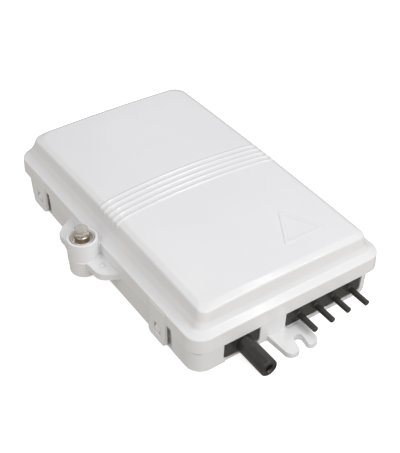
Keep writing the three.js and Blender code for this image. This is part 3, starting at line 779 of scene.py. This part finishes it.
def triangle_frame():
    """A raised triangular frame that follows the crown and stands a little proud of it."""
    bm = bmesh.new()
    stations = [(0.0, -1.5), (0.0, 0.16), (0.14, 0.3), (0.86, 0.3), (1.0, 0.16), (1.0, -1.5)]
    loops = []
    for share, rise in stations:
        loop = []
        for (x0, y0), (x1, y1) in zip(triangle(*SIGN_OUTER), triangle(*SIGN_INNER)):
            x = x0 + (x1 - x0) * share
            y = y0 + (y1 - y0) * share
            loop.append(bm.verts.new((x, y, DOME + crown_at(x, y) + rise)))
        loops.append(loop)
    skin(bm, loops + [loops[0]])
    longest_in_corner = 5.25
    straight = [edge for edge in bm.edges if edge.calc_length() > longest_in_corner]
    bmesh.ops.subdivide_edges(bm, edges=straight, cuts=8)
    return to_object("tool", bm)


def cover_hollows():
    """The rooms under the dome and over the base, the gasket's channel and the skirt's inside."""
    inner = TONGUE_INSET + TONGUE_THICK
    low = PARTING - 1
    side = WALL + 8
    ceiling = DOME - WALL
    hollow = cover_loft([
        (side, RIM + 2, 0), (side + 0.3, DOME - 6, 0.5), (side + 0.8, ceiling - 1.6, 1),
        (side + 1.4, ceiling - 0.7, 1), (side + 2.6, ceiling, 1),
        (24, ceiling, 1), (40, ceiling, 1), (56, ceiling, 1),
    ])
    cavity = base_loft(
        softened([(inner + 1.6, low), (inner + 1.6, RIM - 1.2), (inner + 6, RIM + 2.1)], [1.0], 4)
    )
    channel = base_loft([
        (TONGUE_INSET - GAP, low), (TONGUE_INSET - GAP, CHANNEL_TOP - 0.3), (TONGUE_INSET, CHANNEL_TOP),
        (inner, CHANNEL_TOP), (inner + GAP, CHANNEL_TOP - 0.3), (inner + GAP, low),
    ], "joined")
    lip = TONGUE_TOP + 0.6
    lip_room = base_loft([(inner, low), (inner, lip), (inner + 2, lip), (inner + 2, low)], "joined")
    skirt_room = cut(
        cover_loft([(1.5, low, 0), (1.7, RIM - 2, 0), (2.4, RIM - 1.5, 0)]),
        base_loft([(-0.4, low - 1), (-0.4, RIM + 1)]),
    )
    return hollow, cavity, channel, lip_room, skirt_room


def cover_lug():
    """The upper half of the lock lug: barrel, wing plate, web and the bores for the bolt."""
    low = PARTING + SEAM
    foot = PARTING + WING
    barrel = turned(
        softened([(0, low), (LOCK_RADIUS, low), (LOCK_RADIUS - 0.1, LOCK_TOP), (0, LOCK_TOP)],
                 [0.15, 0.45], 4),
        LOCK, steps=72,
    )
    fillet = turned(
        [(0, foot - 0.5), (9.95, foot - 0.5), (9.9, foot + 0.05), (9.3, foot + 0.3), (8.7, foot + 0.9),
         (8.2, foot + 2.0), (0, foot + 2.2)],
        LOCK + Vector((0.98, 0, 0)), steps=72,
    )
    wing = slab(wing_outline(), low, foot, 0.3)
    web = brick(LOCK.x, SIDE_WALL, -5.4, 5.4, PARTING + 1, RIM + 0.1, 0.6, 3)
    dimple = [
        (0, foot - 1.0), (1.5, foot - 1.0), (1.75, foot - 0.8), (1.85, foot + 0.2), (0, foot + 0.2)
    ]
    top = LOCK_TOP + 0.3
    chamfer = [(0, 27.9), (LOCK_BORE - 0.1, 27.9), (LOCK_BORE + 0.9, top), (0, top)]
    return cut(
        join(barrel, wing, web, fillet),
        cover_loft([(1, PARTING - 1, 0), (1.6, RIM - 1, 0)]),
        rod(LOCK_BORE, 21.6, LOCK_TOP + 5, LOCK, edge=0, steps=72),
        rod(3, PARTING - 1, 23, LOCK, edge=0),
        rod(5.2, PARTING - 1, 20.2, LOCK, edge=0),
        turned(dimple, (*WING_DIMPLE, 0), steps=32),
        turned(chamfer, LOCK, steps=72),
    )


def make_cover():
    cover = cut(cover_outside(), *cover_hollows())
    cover = join(cover, cover_lug(), bored_hinges(True), triangle_frame())
    notches = []
    half = TAB_WIDTH / 2 + SEAM
    low = PARTING - 2
    for y in TAB_YS.values():
        near = y - half
        notches.append(brick(-67, SIDE_WALL, near, y + half, low, TAB_HEIGHTS[1] + 0.1, 0))
        notches.append(brick(-67, SIDE_WALL + 0.4, near - TAB_ROOM[0], near + 1, low, 16.8, 0))
    for x, y in SINK_MARKS:
        top = DOME + crown_at(x, y)
        dish = [(0, top - 0.14), (0.35, top - 0.12), (0.7, top - 0.04), (1.0, top + 0.1), (0, top + 0.1)]
        notches.append(turned(dish, (x, y, 0), steps=20))
    piece(cut(cover, *notches), "cover_shell", "cover", "shell_abs", 30)


def make_snap_tabs():
    """Each tab stands a little proud of the skirt, with a window near its foot."""
    x0, x1 = TAB_X
    foot, top = TAB_HEIGHTS
    low, high = TAB_WINDOW
    half = TAB_WIDTH / 2
    for side, y in TAB_YS.items():
        face = [(top, y - half), (foot, y - half), (foot, y + half), (top, y + half)]
        body = stood(slab(softened(face, [2.2, 2.2], 6), x0, x1, 0.18), ACROSS_X)
        for v in body.data.vertices:
            if v.co.x < (x0 + x1) / 2:
                v.co.x += TAB_LEAN * (v.co.z - 1) / (top - 1)
        window = brick(x0 - 2, x1 + 2, y - 3, y + 3, low, high, 0)
        recess = brick(x0 - 2, x0 + 0.75, y - 4, y + 4, low - 1, high + 0.8, 0.45)
        node = "snap_tab_" + side
        piece(cut(body, window, recess), node + "_shell", node, "shell_abs")


def make_gasket():
    ring = []
    for i in range(12):
        angle = math.radians(30 * i)
        ring.append((
            TONGUE_INSET + TONGUE_THICK / 2 + 0.72 * math.cos(angle),
            (TONGUE_TOP + CHANNEL_TOP) / 2 + 0.72 * math.sin(angle),
        ))
    piece(base_loft(ring, "joined"), "gasket_cord", "cover_gasket", "foam", 60)


# ---- base


def ear_outline(side):
    """Plate with a slanted open slot for a wall screw: side is -1 at the cable end, 1 at the far end."""
    slot, lean, tip = 2.8, 0.27, 117.0
    slot_x, slot_y = -3.4, 109.8
    wall = 99.0
    shoulder, lip = 5.2, 1.8
    left = softened(
        [(-16.6, wall), (-15.1, tip), (-8.3, tip), (slot_x - slot, slot_y)], [shoulder, lip], 7
    )
    round_end = []
    for i in range(1, 14):
        angle = math.pi - math.pi * i / 14
        round_end.append((slot_x + slot * math.cos(angle), slot_y - slot * math.sin(angle)))
    mouth_x = slot_x + slot - lean * (tip - slot_y)
    right = softened(
        [(slot_x + slot, slot_y), (mouth_x, tip), (5.2, tip), (6, wall)], [lip, shoulder], 7
    )
    outline = left + round_end + right
    if side < 0:
        return [(x, -y) for x, y in outline]
    return [(x, y + BASE[2] + BASE[3]) for x, y in reversed(outline)]


def trough(x0, x1, low, high, radius, y0, y1, edge):
    """A plate across Y with rounded lower corners, for the cable-side wall."""
    outline = softened([(x0, high), (x0, low), (x1, low), (x1, high)], [radius, radius], 6)
    return stood(slab([(x, -z) for x, z in outline], y0, y1, edge), ACROSS_Y_DOWN)


def seal_opening(x0, x1):
    return trough(x0, x1, SEAL_Z[0] - GAP, 22, 2.2, BASE[2] - 1, BASE[2] + 4.4, 0)


def screw_boss(x, y, top):
    corners = [(0, FLOOR - 0.6), (3.6, FLOOR - 0.6), (3.3, FLOOR + 0.3), (3.0, top), (0, top)]
    return turned(softened(corners, [0, 0.5, 0.3], 3), (x, y, 0), steps=32)


# x, y and top of each screw boss.
BOSSES = (
    (-22, -84, 6.4), (-43, -84, 6.4), (-2, -80, 6.4), (48, -80, 6.4),
    (-15.3, -42, 5.2), (47.5, -42, 5.2), (-48, 37, 6.1), (38, 37, 6.1),
)


def tooth(y):
    """Wedge that a snap tab's window hooks over."""
    side = [(-59.8, 6.2), (-64.25, 6.2), (-64.25, 7.4), (-62.6, 10.4), (-59.8, 10.4)]
    return stood(slab(side, y - 2.4, y + 2.4, 0.2), ACROSS_Y)


def base_lug():
    """The lower half of the lock lug, up to the base's outline."""
    wing = slab(wing_outline(), PARTING - WING, PARTING, 0.25)
    profile = softened([(0, 5.4), (8.4, 5.4), (8.85, PARTING), (0, PARTING)], [0.9, 0.15], 4)
    web = brick(-66, -61.2, -6, 6, 7.5, PARTING - 0.5, 0.5)
    return cut(join(wing, turned(profile, LOCK, steps=64), web), base_room())


def base_room():
    return base_loft([(WALL, FLOOR), (WALL, 30)])


def tab_pockets():
    """Room for each snap tab in the side wall, with a deeper part above the floor."""
    pockets = []
    for y in TAB_YS.values():
        near = y - TAB_WIDTH / 2 - TAB_ROOM[0]
        far = y + TAB_WIDTH / 2 + TAB_ROOM[1]
        pockets.append(brick(-66, SIDE_WALL + 0.1, near, far, -4, PARTING + 0.02, 0))
        pockets.append(brick(SIDE_WALL, SIDE_WALL + 2.2, near, far, 1.0, PARTING + 0.02, 0))
    return pockets


def pry_notch():
    """A round notch across the near corner of the rim, outside the tongue."""
    notch = rod(PRY_RADIUS, -9, 9, (0, 0, 0), "Y", 0, 64)
    turn = Matrix.Rotation(math.radians(-45), 4, "Z")
    notch.data.transform(Matrix.Translation((*PRY_AT, PARTING + PRY_RADIUS - PRY_DEPTH)) @ turn)
    return cut(notch, base_loft([(TONGUE_INSET - 0.4, 0), (TONGUE_INSET - 0.4, 40)]))


def make_base():
    inner = TONGUE_INSET + TONGUE_THICK
    profile = softened(
        [
            (3.0, 0), (0.6, 0), (0, PARTING), (TONGUE_INSET, PARTING), (TONGUE_INSET, TONGUE_TOP),
            (inner, TONGUE_TOP), (inner + 0.4, FLOOR), (9, FLOOR),
        ],
        [0.8, 0.14, 0, 0.35, 0.35, 1.6], 5,
    )
    ears = cut(join(*[slab(ear_outline(side), 0, 3.6, 0.45) for side in (-1, 1)]), base_room())
    near, far = TAB_BACKING
    sunk = FLOOR - 0.6
    tab_backs = [
        brick(-62, -57.4, y - near, y + far, sunk, PARTING - 0.6, 0.3) for y in TAB_YS.values()
    ]
    foot_notch = brick(-44, -33.5, -102, -98.2, -3, 2.6, 0.6)
    base = cut(
        join(base_loft(profile), ears, base_lug(), *tab_backs),
        *tab_pockets(),
        seal_opening(*INLET_FACE),
        seal_opening(*OUTLET_FACE),
        rod(3.9, 7, PARTING + 3, LOCK, edge=0),
        foot_notch,
        pry_notch(),
    )
    ribs = [brick(x, x + 2.8, -97, -90.5, sunk, PARTING, 0.25) for x in (-49, -21, -8.8, 49.1)]
    teeth = [tooth(y) for y in TAB_YS.values()]
    base = join(base, bored_hinges(False), *teeth, *ribs, *[screw_boss(*boss) for boss in BOSSES])
    holes = [rod(PILOT_HOLE, FLOOR, top + 3, (x, y, 0), edge=0, steps=20) for x, y, top in BOSSES]
    seal_pockets = [
        brick(x0 - 2.3, x1 + 2.3, -97, SEAL_BACK + GAP, FLOOR, TONGUE_TOP + 2, 0)
        for x0, x1 in (INLET_FACE, OUTLET_FACE)
    ]
    piece(cut(base, *holes, *seal_pockets), "base_shell", "base_tray", "shell_abs", 30)


# ---- cable seals


def seal_block(x0, x1):
    """Rubber block in the wall's cut-out, its flange behind the wall and its ridge on top."""
    low, high = SEAL_Z
    face = trough(x0 + GAP, x1 - GAP, low, high, 2.0, SEAL_FACE, SEAL_BACK, 0.35)
    flange = brick(x0 - 2, x1 + 2, -96.7, SEAL_BACK + 0.02, FLOOR + GAP, high - 0.02, 0.3)
    ridge = brick(x0 + GAP + 0.02, x1 - GAP - 0.02, -98.3, -96.2, high - 1, TONGUE_TOP, 0.3)
    return join(face, flange, ridge)


def make_inlet_seal():
    x, tip, z = INLET
    corners = [(0, tip), (5.1, tip), (5.1, SEAL_BACK - 2), (0, SEAL_BACK - 2)]
    nozzle = turned(softened(corners, [0.8, 0.1], 5), (x, 0, z), "Y", 64)
    collar = turned(
        softened([(0, SEAL_FACE - 0.7), (6.2, SEAL_FACE - 0.7), (6.2, -96), (0, -96)], [0.5, 0], 4),
        (x, 0, z), "Y", 64,
    )
    seal = join(seal_block(*INLET_FACE), nozzle, collar)
    bore = turned(
        [(0, tip - 1), (2.9, tip - 1), (2.9, tip + 0.1), (2.3, tip + 0.9), (2.2, tip + 14),
         (0, tip + 14.6)],
        (x, 0, z), "Y", 40,
    )
    groove = [(3.35, tip - 1), (3.95, tip - 1), (3.95, tip + 0.25), (3.35, tip + 0.25)]
    face_ring = turned(groove, (x, 0, z), "Y", 56)
    seam = brick(x - 0.25, x + 0.25, SEAL_FACE - 1, SEAL_FACE + 0.4, z + 5.8, SEAL_Z[1] + 1, 0)
    piece(cut(seal, bore, face_ring, seam), "inlet_seal_rubber", "inlet_seal", "seal_rubber", 35)


def make_outlet_seal():
    """Four closed nozzles, two of them round-tipped and two cut flat."""
    nozzles = []
    back = SEAL_BACK - 2
    proud = SEAL_FACE - 0.7
    for x, shorter, edge in zip(OUTLET_XS, OUTLET_SHORTER, OUTLET_ROUNDING):
        tip = OUTLET_TIP + shorter
        corners = [(0, tip), (1.7, tip), (1.75, SEAL_FACE), (1.75, back), (0, back)]
        nozzles.append(turned(softened(corners, [edge, 0, 0], 5), (x, 0, OUTLET_Z), "Y", 32))
        boss = [(0, proud), (2.3, proud), (3.0, SEAL_FACE + 1), (3.0, -96), (0, -96)]
        nozzles.append(turned(softened(boss, [0.4, 0.3, 0], 3), (x, 0, OUTLET_Z), "Y", 36))
    seal = join(seal_block(*OUTLET_FACE), *nozzles)
    piece(seal, "outlet_seal_rubber", "outlet_seal", "seal_rubber", 35)


# ---- lock


def make_bolt():
    """Threaded stem with a groove for its washer, a thicker shoulder and a crowned hexagon head."""
    shoulder, neck, groove = BOLT_SHOULDER, 3.4, 1.6
    stem = turned(
        [
            (0, 10.2), (1.9, 10.2), (THREAD, 10.8), (THREAD, 14.8), (groove, 14.85), (groove, 16.15),
            (THREAD, 16.2), (THREAD, 22.8), (shoulder - 0.3, 22.8), (shoulder, 23.1),
            (shoulder, 30.5), (shoulder - 0.2, 30.8), (neck, 30.9), (neck, 32), (0, 32),
        ],
        LOCK, steps=64,
    )
    hexagon = []
    for i in range(6):
        angle = math.radians(60 * i + HEX_TURN)
        hexagon.append((LOCK.x + HEX_RADIUS * math.cos(angle), HEX_RADIUS * math.sin(angle)))
    top = 34.7
    head = slab(hexagon, 31.3, top, 0)
    dome = turned(
        softened([(0, 31.2), (4.2, 31.2), (4.55, 33.9), (3.7, top), (0, top)], [0.3, 0.35, 0.5], 4),
        LOCK, steps=64,
    )
    head = boolean(head, [dome], "INTERSECT")
    piece(join(stem, head), "lock_bolt_metal", "lock_bolt", "nickel", 30)
    washer = tube(4.6, 1.9, 15.1, 15.9, LOCK, edge=0.15)
    piece(washer, "lock_retainer_metal", "lock_retainer", "steel")


def make_sleeve():
    """Bright cup in the lock barrel, its floor round the bolt's shoulder."""
    outer = LOCK_BORE - GAP
    inner = BOLT_SHOULDER + 0.15
    top = LOCK_TOP - 0.4
    cup = [
        (inner, 21.9), (outer - 0.3, 21.9), (outer, 22.2), (outer, top - 0.1), (outer - 0.1, top),
        (outer - 0.4, top), (outer - 0.5, top - 0.15), (outer - 0.7, 26.3), (outer - 1.2, 25.7),
        (inner, 25.6),
    ]
    piece(turned(cup, LOCK, steps=72), "lock_sleeve_metal", "lock_sleeve", "satin_nickel", 40)


def make_insert():
    """Brass insert with eight grooves round its outside."""
    outer, inner, root = 3.6, 2.7, 3.4
    rings = [(inner, 7.4), (outer, 7.4)]
    for k in range(8):
        z = 7.8 + 0.75 * k
        rings += [(outer, z), (root, z + 0.15), (root, z + 0.45), (outer, z + 0.6)]
    rings += [(outer, 14.1), (inner, 14.1)]
    piece(turned(rings, LOCK, steps=40), "lock_insert_brass", "lock_insert", "brass")


def make_hinge_pins():
    half = HINGE_LENGTH / 2
    for side, y in HINGE_YS.items():
        pin = rod(PIN_RADIUS, y - half, y + half, (HINGE_X, 0, HINGE_Z), "Y")
        piece(pin, "hinge_pin_" + side + "_steel", "hinge_pin_" + side, "steel")


# ---- splice tray

TRAY_LOW, TRAY_HIGH = box_mm("splice_tray")


def tray_outline(inset):
    low, high = TRAY_LOW, TRAY_HIGH
    return rounded(low.x + inset, high.x - inset, low.y + inset, high.y - inset, 18 - inset, 12)


def make_tray():
    z = TRAY_LOW.z
    top = TRAY_HIGH.z
    centre = (TRAY_LOW + TRAY_HIGH) / 2
    wall = 1.6
    reach = 17
    tray = cut(slab(tray_outline(0), z, top, 0.35), slab(tray_outline(wall), z + wall, top + 3, 0.7))
    spools = []
    for side in (-1, 1):
        spool = tube(21, 21 - wall, z + 1, z + 8, (centre.x + reach * side, centre.y, 0), steps=96)
        middle = brick(
            centre.x - reach, centre.x + reach, centre.y - 30, centre.y + 30, z - 1, z + 10, 0
        )
        spools.append(cut(spool, middle))
    tray = join(tray, *spools)
    doors = [
        brick(centre.x + a, centre.x + b, TRAY_LOW.y - 1, TRAY_LOW.y + 3, z + wall, 30, 0.3)
        for a, b in ((-36, -22), (22, 36))
    ]
    holes = [
        rod(CLEARANCE_HOLE, z - 1, z + 3, (x, 37, 0), edge=0)
        for x in (TRAY_LOW.x + 6, TRAY_HIGH.x - 6)
    ]
    tabs = [
        brick(x - 4.5, x + 4.5, y - 1.5, y + 1.5, top - 1.2, top, 0.2)
        for x, y in ((centre.x - 26, 80.5), (centre.x + 26, 80.5), (centre.x, TRAY_LOW.y + 3.2))
    ]
    piece(join(cut(tray, *doors, *holes), *tabs), "splice_tray_shell", "splice_tray", "tray_plastic")


def make_tray_lid():
    """Clear lid with two round finger cut-outs."""
    low, high = box_mm("splice_tray_lid")
    grips = [
        rod(7, low.z - 3, high.z + 3, (x, TRAY_LOW.y + 2, 0), edge=0)
        for x in (TRAY_LOW.x + 20, TRAY_HIGH.x - 20)
    ]
    lid = cut(slab(tray_outline(0.02), low.z, high.z, 0.25), *grips)
    piece(lid, "splice_tray_cover", "splice_tray_lid", "clear_lid")


def make_splice_holder():
    low, high = box_mm("splice_holder")
    centre = (low + high) / 2
    body = brick(low.x, high.x, low.y, high.y, low.z, high.z, 0.5)
    z = low.z + 3.6
    ends = (low.y - 5, high.y + 5)
    grooves = []
    for offset in (-7.5, -2.5, 2.5, 7.5):
        x = centre.x + offset
        grooves.append(rod(1.4, *ends, (x, 0, z), "Y", 0, 24))
        grooves.append(brick(x - 1.05, x + 1.05, *ends, z, high.z + 3, 0))
    piece(cut(body, *grooves), "splice_holder_rubber", "splice_holder", "holder_rubber")


# ---- adapters

ADAPTERS = [middle_of(f"sc_adapter_{i}") for i in range(1, 5)]
ADAPTER_Y = -42.0
ADAPTER_Z = 10.0
ADAPTER_SIZE = (12.7, 28.0, 9.3)


def make_bracket():
    low, high = box_mm("adapter_bracket")
    width, _, height = ADAPTER_SIZE
    y = ADAPTER_Y
    left, right = ADAPTERS[0].x - 8, ADAPTERS[-1].x + 8
    half_x = width / 2 + GAP
    half_z = height / 2 + GAP
    wall = brick(left, right, y - 1, y + 1, low.z, high.z, 0.3)
    feet = [brick(x, x + 8.6, y - 5, y + 5, 5.5, 7.1, 0.3) for x in (low.x, high.x - 8.6)]
    ribs = [brick(x, x + 1.4, y - 3.6, y + 3.6, 6.6, 11, 0.3) for x in (left, right - 1.4)]
    windows = [
        brick(a.x - half_x, a.x + half_x, y - 3, y + 3, ADAPTER_Z - half_z, ADAPTER_Z + half_z, 0.3)
        for a in ADAPTERS
    ]
    holes = [
        rod(CLEARANCE_HOLE, 3, 9, (x, y, 0), edge=0) for x in (low.x + 4.3, high.x - 4.3)
    ]
    body = cut(join(cut(wall, *windows), *feet, *ribs), *holes)
    piece(body, "adapter_bracket_plate", "adapter_bracket", "tray_plastic")


def make_adapter(number, centre):
    """Body open from end to end, with a collar, two keys on top and grip grooves in its sides."""
    half_x, half_y, half_z = (size / 2 for size in ADAPTER_SIZE)
    x, y, z = centre.x, ADAPTER_Y, ADAPTER_Z
    body = brick(x - half_x, x + half_x, y - half_y, y + half_y, z - half_z, z + half_z, 0.4)
    collar = brick(x - half_x - 0.02, x + half_x + 0.02, y - 3, y - 1 - GAP,
                   z - half_z - 1, z + half_z + 1, 0.3)
    keys = [
        brick(x - 1.5, x + 1.5, y0, y1, z + half_z - 0.5, z + half_z + 0.8, 0.2)
        for y0, y1 in ((y - half_y, y - 4.2), (y + 3, y + half_y))
    ]
    socket = brick(x - 4.7, x + 4.7, y - half_y - 1, y + half_y + 1, z - 3.7, z + 3.7, 0.3)
    grips = []
    for side in (-1, 1):
        x0, x1 = sorted((x + side * (half_x + 1), x + side * (half_x - 0.35)))
        for offset in (-8.0, -9.6, -11.2, 8.0, 9.6, 11.2):
            grips.append(brick(x0, x1, y + offset, y + offset + 0.6, z - 3, z + 3, 0.1))
    adapter = cut(join(body, collar, *keys), socket, *grips)
    piece(adapter, f"sc_adapter_{number}_body", f"sc_adapter_{number}", "adapter_green")


def make_dust_cap(number, centre, side, name):
    """Plug with a larger head; side is -1 toward the cables, 1 toward the splice tray."""
    x, z = centre.x, ADAPTER_Z
    mouth = ADAPTER_Y + side * ADAPTER_SIZE[1] / 2
    plug_y = sorted((mouth + side * GAP, mouth - side * 8))
    head_y = sorted((mouth + side * GAP, mouth + side * 3.2))
    plug = brick(x - 4.4, x + 4.4, *plug_y, z - 3.4, z + 3.4, 0.5)
    head = brick(x - 5.6, x + 5.6, *head_y, z - 4.4, z + 4.4, 0.9, 4)
    node = f"{name}_dust_cap_{number}"
    piece(join(plug, head), node + "_rubber", node, "dust_cap")


# ---- cable fixings


def make_clamp():
    """Arch over the feeder cable, with a foot on both sides."""
    at = (INLET.x, 0, INLET.z)
    y0, y1 = -87, -81
    foot = 6.7
    clamp = cut(
        join(rod(7, y0, y1, at, "Y", 0.4, 64), slab(rounded(-46, -19, y0, y1, 2.4, 6), foot, 8.9)),
        rod(4.9, y0 - 3, y1 + 3, at, "Y", 0, 64),
        brick(-50, -15, y0 - 3, y1 + 3, -3, foot, 0),
        *[rod(CLEARANCE_HOLE, 5, 12, (x, -84, 0), edge=0) for x in (-43, -22)],
    )
    piece(clamp, "cable_clamp_strap", "cable_clamp", "tray_plastic")


def make_comb():
    """Bar with two teeth for each drop cable."""
    bar = slab(rounded(-5.5, 51.5, -83, -77, 2.2, 6), 6.7, 8.5)
    teeth = [
        brick(x + a, x + a + 2.2, -83, -77, 8, 13, 0.35)
        for x in OUTLET_XS for a in (-3.4, 1.2)
    ]
    holes = [rod(CLEARANCE_HOLE, 5, 12, (x, -80, 0), edge=0) for x in (-2, 48)]
    piece(cut(join(bar, *teeth), *holes), "drop_cable_comb_bar", "drop_cable_comb", "tray_plastic")


def make_strength_post():
    """Block with a hole along it for the strength member and one from above for its screw."""
    x = INLET.x
    body = cut(
        brick(x - 4, x + 4, -68, -60, FLOOR + GAP, 10, 0.4),
        rod(1.4, -70, -58, (x, 0, 6), "Y", 0, 24),
        rod(1.45, 7, 12, (x, -64, 0), edge=0, steps=24),
    )
    piece(body, "strength_member_post_brass", "strength_member_post", "brass")


def make_screw(node):
    """Pan-head screw with a cross recess, its head at the top of the CAD screw."""
    low, high = box_mm(node)
    x, y = (low.x + high.x) / 2, (low.y + high.y) / 2
    top = high.z - 2
    corners = [
        (0, top - 3), (0.6, top - 3), (0.95, top - 2.5), (0.95, top + GAP), (2.9, top + GAP),
        (2.9, top + 1.2), (2.1, top + 1.9), (0, top + 2),
    ]
    screw = turned(softened(corners, [0, 0.1, 0, 0.15, 0.4, 0.6], 3), (x, y, 0), steps=32)
    recess = join(
        brick(x - 1.7, x + 1.7, y - 0.28, y + 0.28, top + 1.0, top + 4, 0),
        brick(x - 0.281, x + 0.281, y - 1.7, y + 1.7, top + 1.001, top + 3.9, 0),
    )
    piece(cut(screw, recess), node + "_metal", node, "steel")


def make_fibre_guide(number):
    """Small arch with its open side turned away from its leg."""
    node = f"fibre_guide_{number}"
    low, high = box_mm(node)
    across = high.y - low.y > high.x - low.x
    centre = (low + high) / 2
    side = [(-7, 0), (7, 0), (7, 1.6), (-5.4, 1.6), (-5.4, 7.4), (5, 7.4), (5, 9), (-7, 9)]
    outline = softened(side + [side[0]], [0.2, 0.2, 1.2, 1.2, 0.3, 0.3, 1.8], 4)[:-1]
    guide = stood(slab(outline, -2.5, 2.5, 0.25), ACROSS_Y_BACK)
    turn = Matrix.Rotation(math.radians(90 if across else 0), 4, "Z")
    guide.data.transform(Matrix.Translation((centre.x, centre.y, low.z)) @ turn)
    piece(guide, node + "_clip", node, "tray_plastic")


make_cover()
make_snap_tabs()
make_gasket()
make_base()
make_inlet_seal()
make_outlet_seal()
make_bolt()
make_sleeve()
make_insert()
make_hinge_pins()
make_tray()
make_tray_lid()
make_splice_holder()
make_bracket()
for number, centre in enumerate(ADAPTERS, 1):
    make_adapter(number, centre)
    make_dust_cap(number, centre, -1, "outer")
    make_dust_cap(number, centre, 1, "inner")
make_clamp()
make_comb()
make_strength_post()
for node in sorted(frame["nodes"]):
    if "screw" in node:
        make_screw(node)
for number in (1, 2, 3):
    make_fibre_guide(number)

# ---- floor, light and camera


def make_floor():
    """White ground just under the box, in metres and kept out of the bounce light."""
    bm = bmesh.new()
    size = 3.0
    drop = 0.2 * MM
    corners = ((-size, -size), (size, -size), (size, size), (-size, size))
    bm.faces.new([bm.verts.new((x, y, -drop)) for x, y in corners])
    floor = to_object("floor", bm)
    material = bpy.data.materials.new("floor_white")
    material.use_nodes = True
    shader = material.node_tree.nodes["Principled BSDF"]
    feed(shader, Base_Color=(0.9, 0.9, 0.9, 1), Roughness=0.9, Specular_IOR_Level=0.1)
    feed(shader, Emission_Color=(1, 1, 1, 1), Emission_Strength=0.6)
    floor.data.materials.append(material)
    floor.visible_diffuse = False
    floor.visible_glossy = False


AIM = (0, -0.02, 0.03)  # the place that every lamp looks at


def make_light(name, direction, distance, size, power, colour=(1, 1, 1)):
    """A soft rectangular lamp in the given direction from the box; lengths are in metres."""
    data = bpy.data.lights.new(name, "AREA")
    data.shape = "RECTANGLE"
    data.size, data.size_y = size
    data.energy = power
    data.color = colour
    lamp = bpy.data.objects.new(name, data)
    scene.collection.objects.link(lamp)
    towards = Vector(direction).normalized()
    lamp.location = Vector(AIM) + towards * distance
    lamp.rotation_mode = "QUATERNION"
    lamp.rotation_quaternion = towards.to_track_quat("Z", "Y")


def make_world():
    """Soft light from all round, warm from below and slightly cool from above."""
    world = bpy.data.worlds.new("studio")
    world.use_nodes = True
    nodes = world.node_tree.nodes
    links = world.node_tree.links
    background = nodes["Background"]
    feed(background, Strength=0.5)
    direction = nodes.new("ShaderNodeTexCoord")
    height = nodes.new("ShaderNodeSeparateXYZ")
    tone = nodes.new("ShaderNodeValToRGB")
    set_ramp(tone, (0.0, 0.35), ((0.98, 0.935, 0.855), (0.975, 0.97, 1.0)))
    links.new(direction.outputs["Generated"], height.inputs["Vector"])
    links.new(height.outputs["Z"], tone.inputs["Fac"])
    links.new(tone.outputs["Color"], background.inputs["Color"])
    scene.world = world


def make_camera():
    """Looks down on the cable end from the lock's side."""
    azimuth, elevation, roll = (math.radians(a) for a in (-34.56, 39.50, 0.46))
    aim = Vector((-6.08, -20.47, 20.0)) * MM
    distance = 523.0 * MM
    back = Vector((
        math.sin(azimuth) * math.cos(elevation),
        -math.cos(azimuth) * math.cos(elevation),
        math.sin(elevation),
    ))
    right = (-back).cross(Vector((0, 0, 1))).normalized()
    up = right.cross(-back)
    turned_right = right * math.cos(roll) + up * math.sin(roll)
    turned_up = up * math.cos(roll) - right * math.sin(roll)
    data = bpy.data.cameras.new("camera")
    data.sensor_width = 36
    data.lens = 71.85
    data.clip_start = 0.02
    data.clip_end = 20
    camera = bpy.data.objects.new("camera", data)
    scene.collection.objects.link(camera)
    place = Matrix((turned_right, turned_up, back)).transposed().to_4x4()
    place.translation = aim + back * distance
    camera.matrix_world = place
    scene.camera = camera


make_floor()
make_world()
make_camera()
make_light("front", (0, -1, 0.65), 1.3, (0.95, 0.55), 5.7, (1.0, 0.995, 0.985))
make_light("left", (-1, -0.2, 1.15), 1.3, (0.9, 0.9), 4.0, (1.0, 0.965, 0.91))
make_light("back_right", (1, 1, 1.2), 1.3, (0.9, 0.9), 0.9, (0.94, 0.95, 1.0))
make_light("glint", (0.44, -0.61, 0.61), 1.3, (0.3, 0.36), 3.0)
make_light("edge_strip", (0.44, 0.03, 0.9), 1.1, (0.9, 0.05), 0.75)

scene.view_settings.view_transform = "Standard"
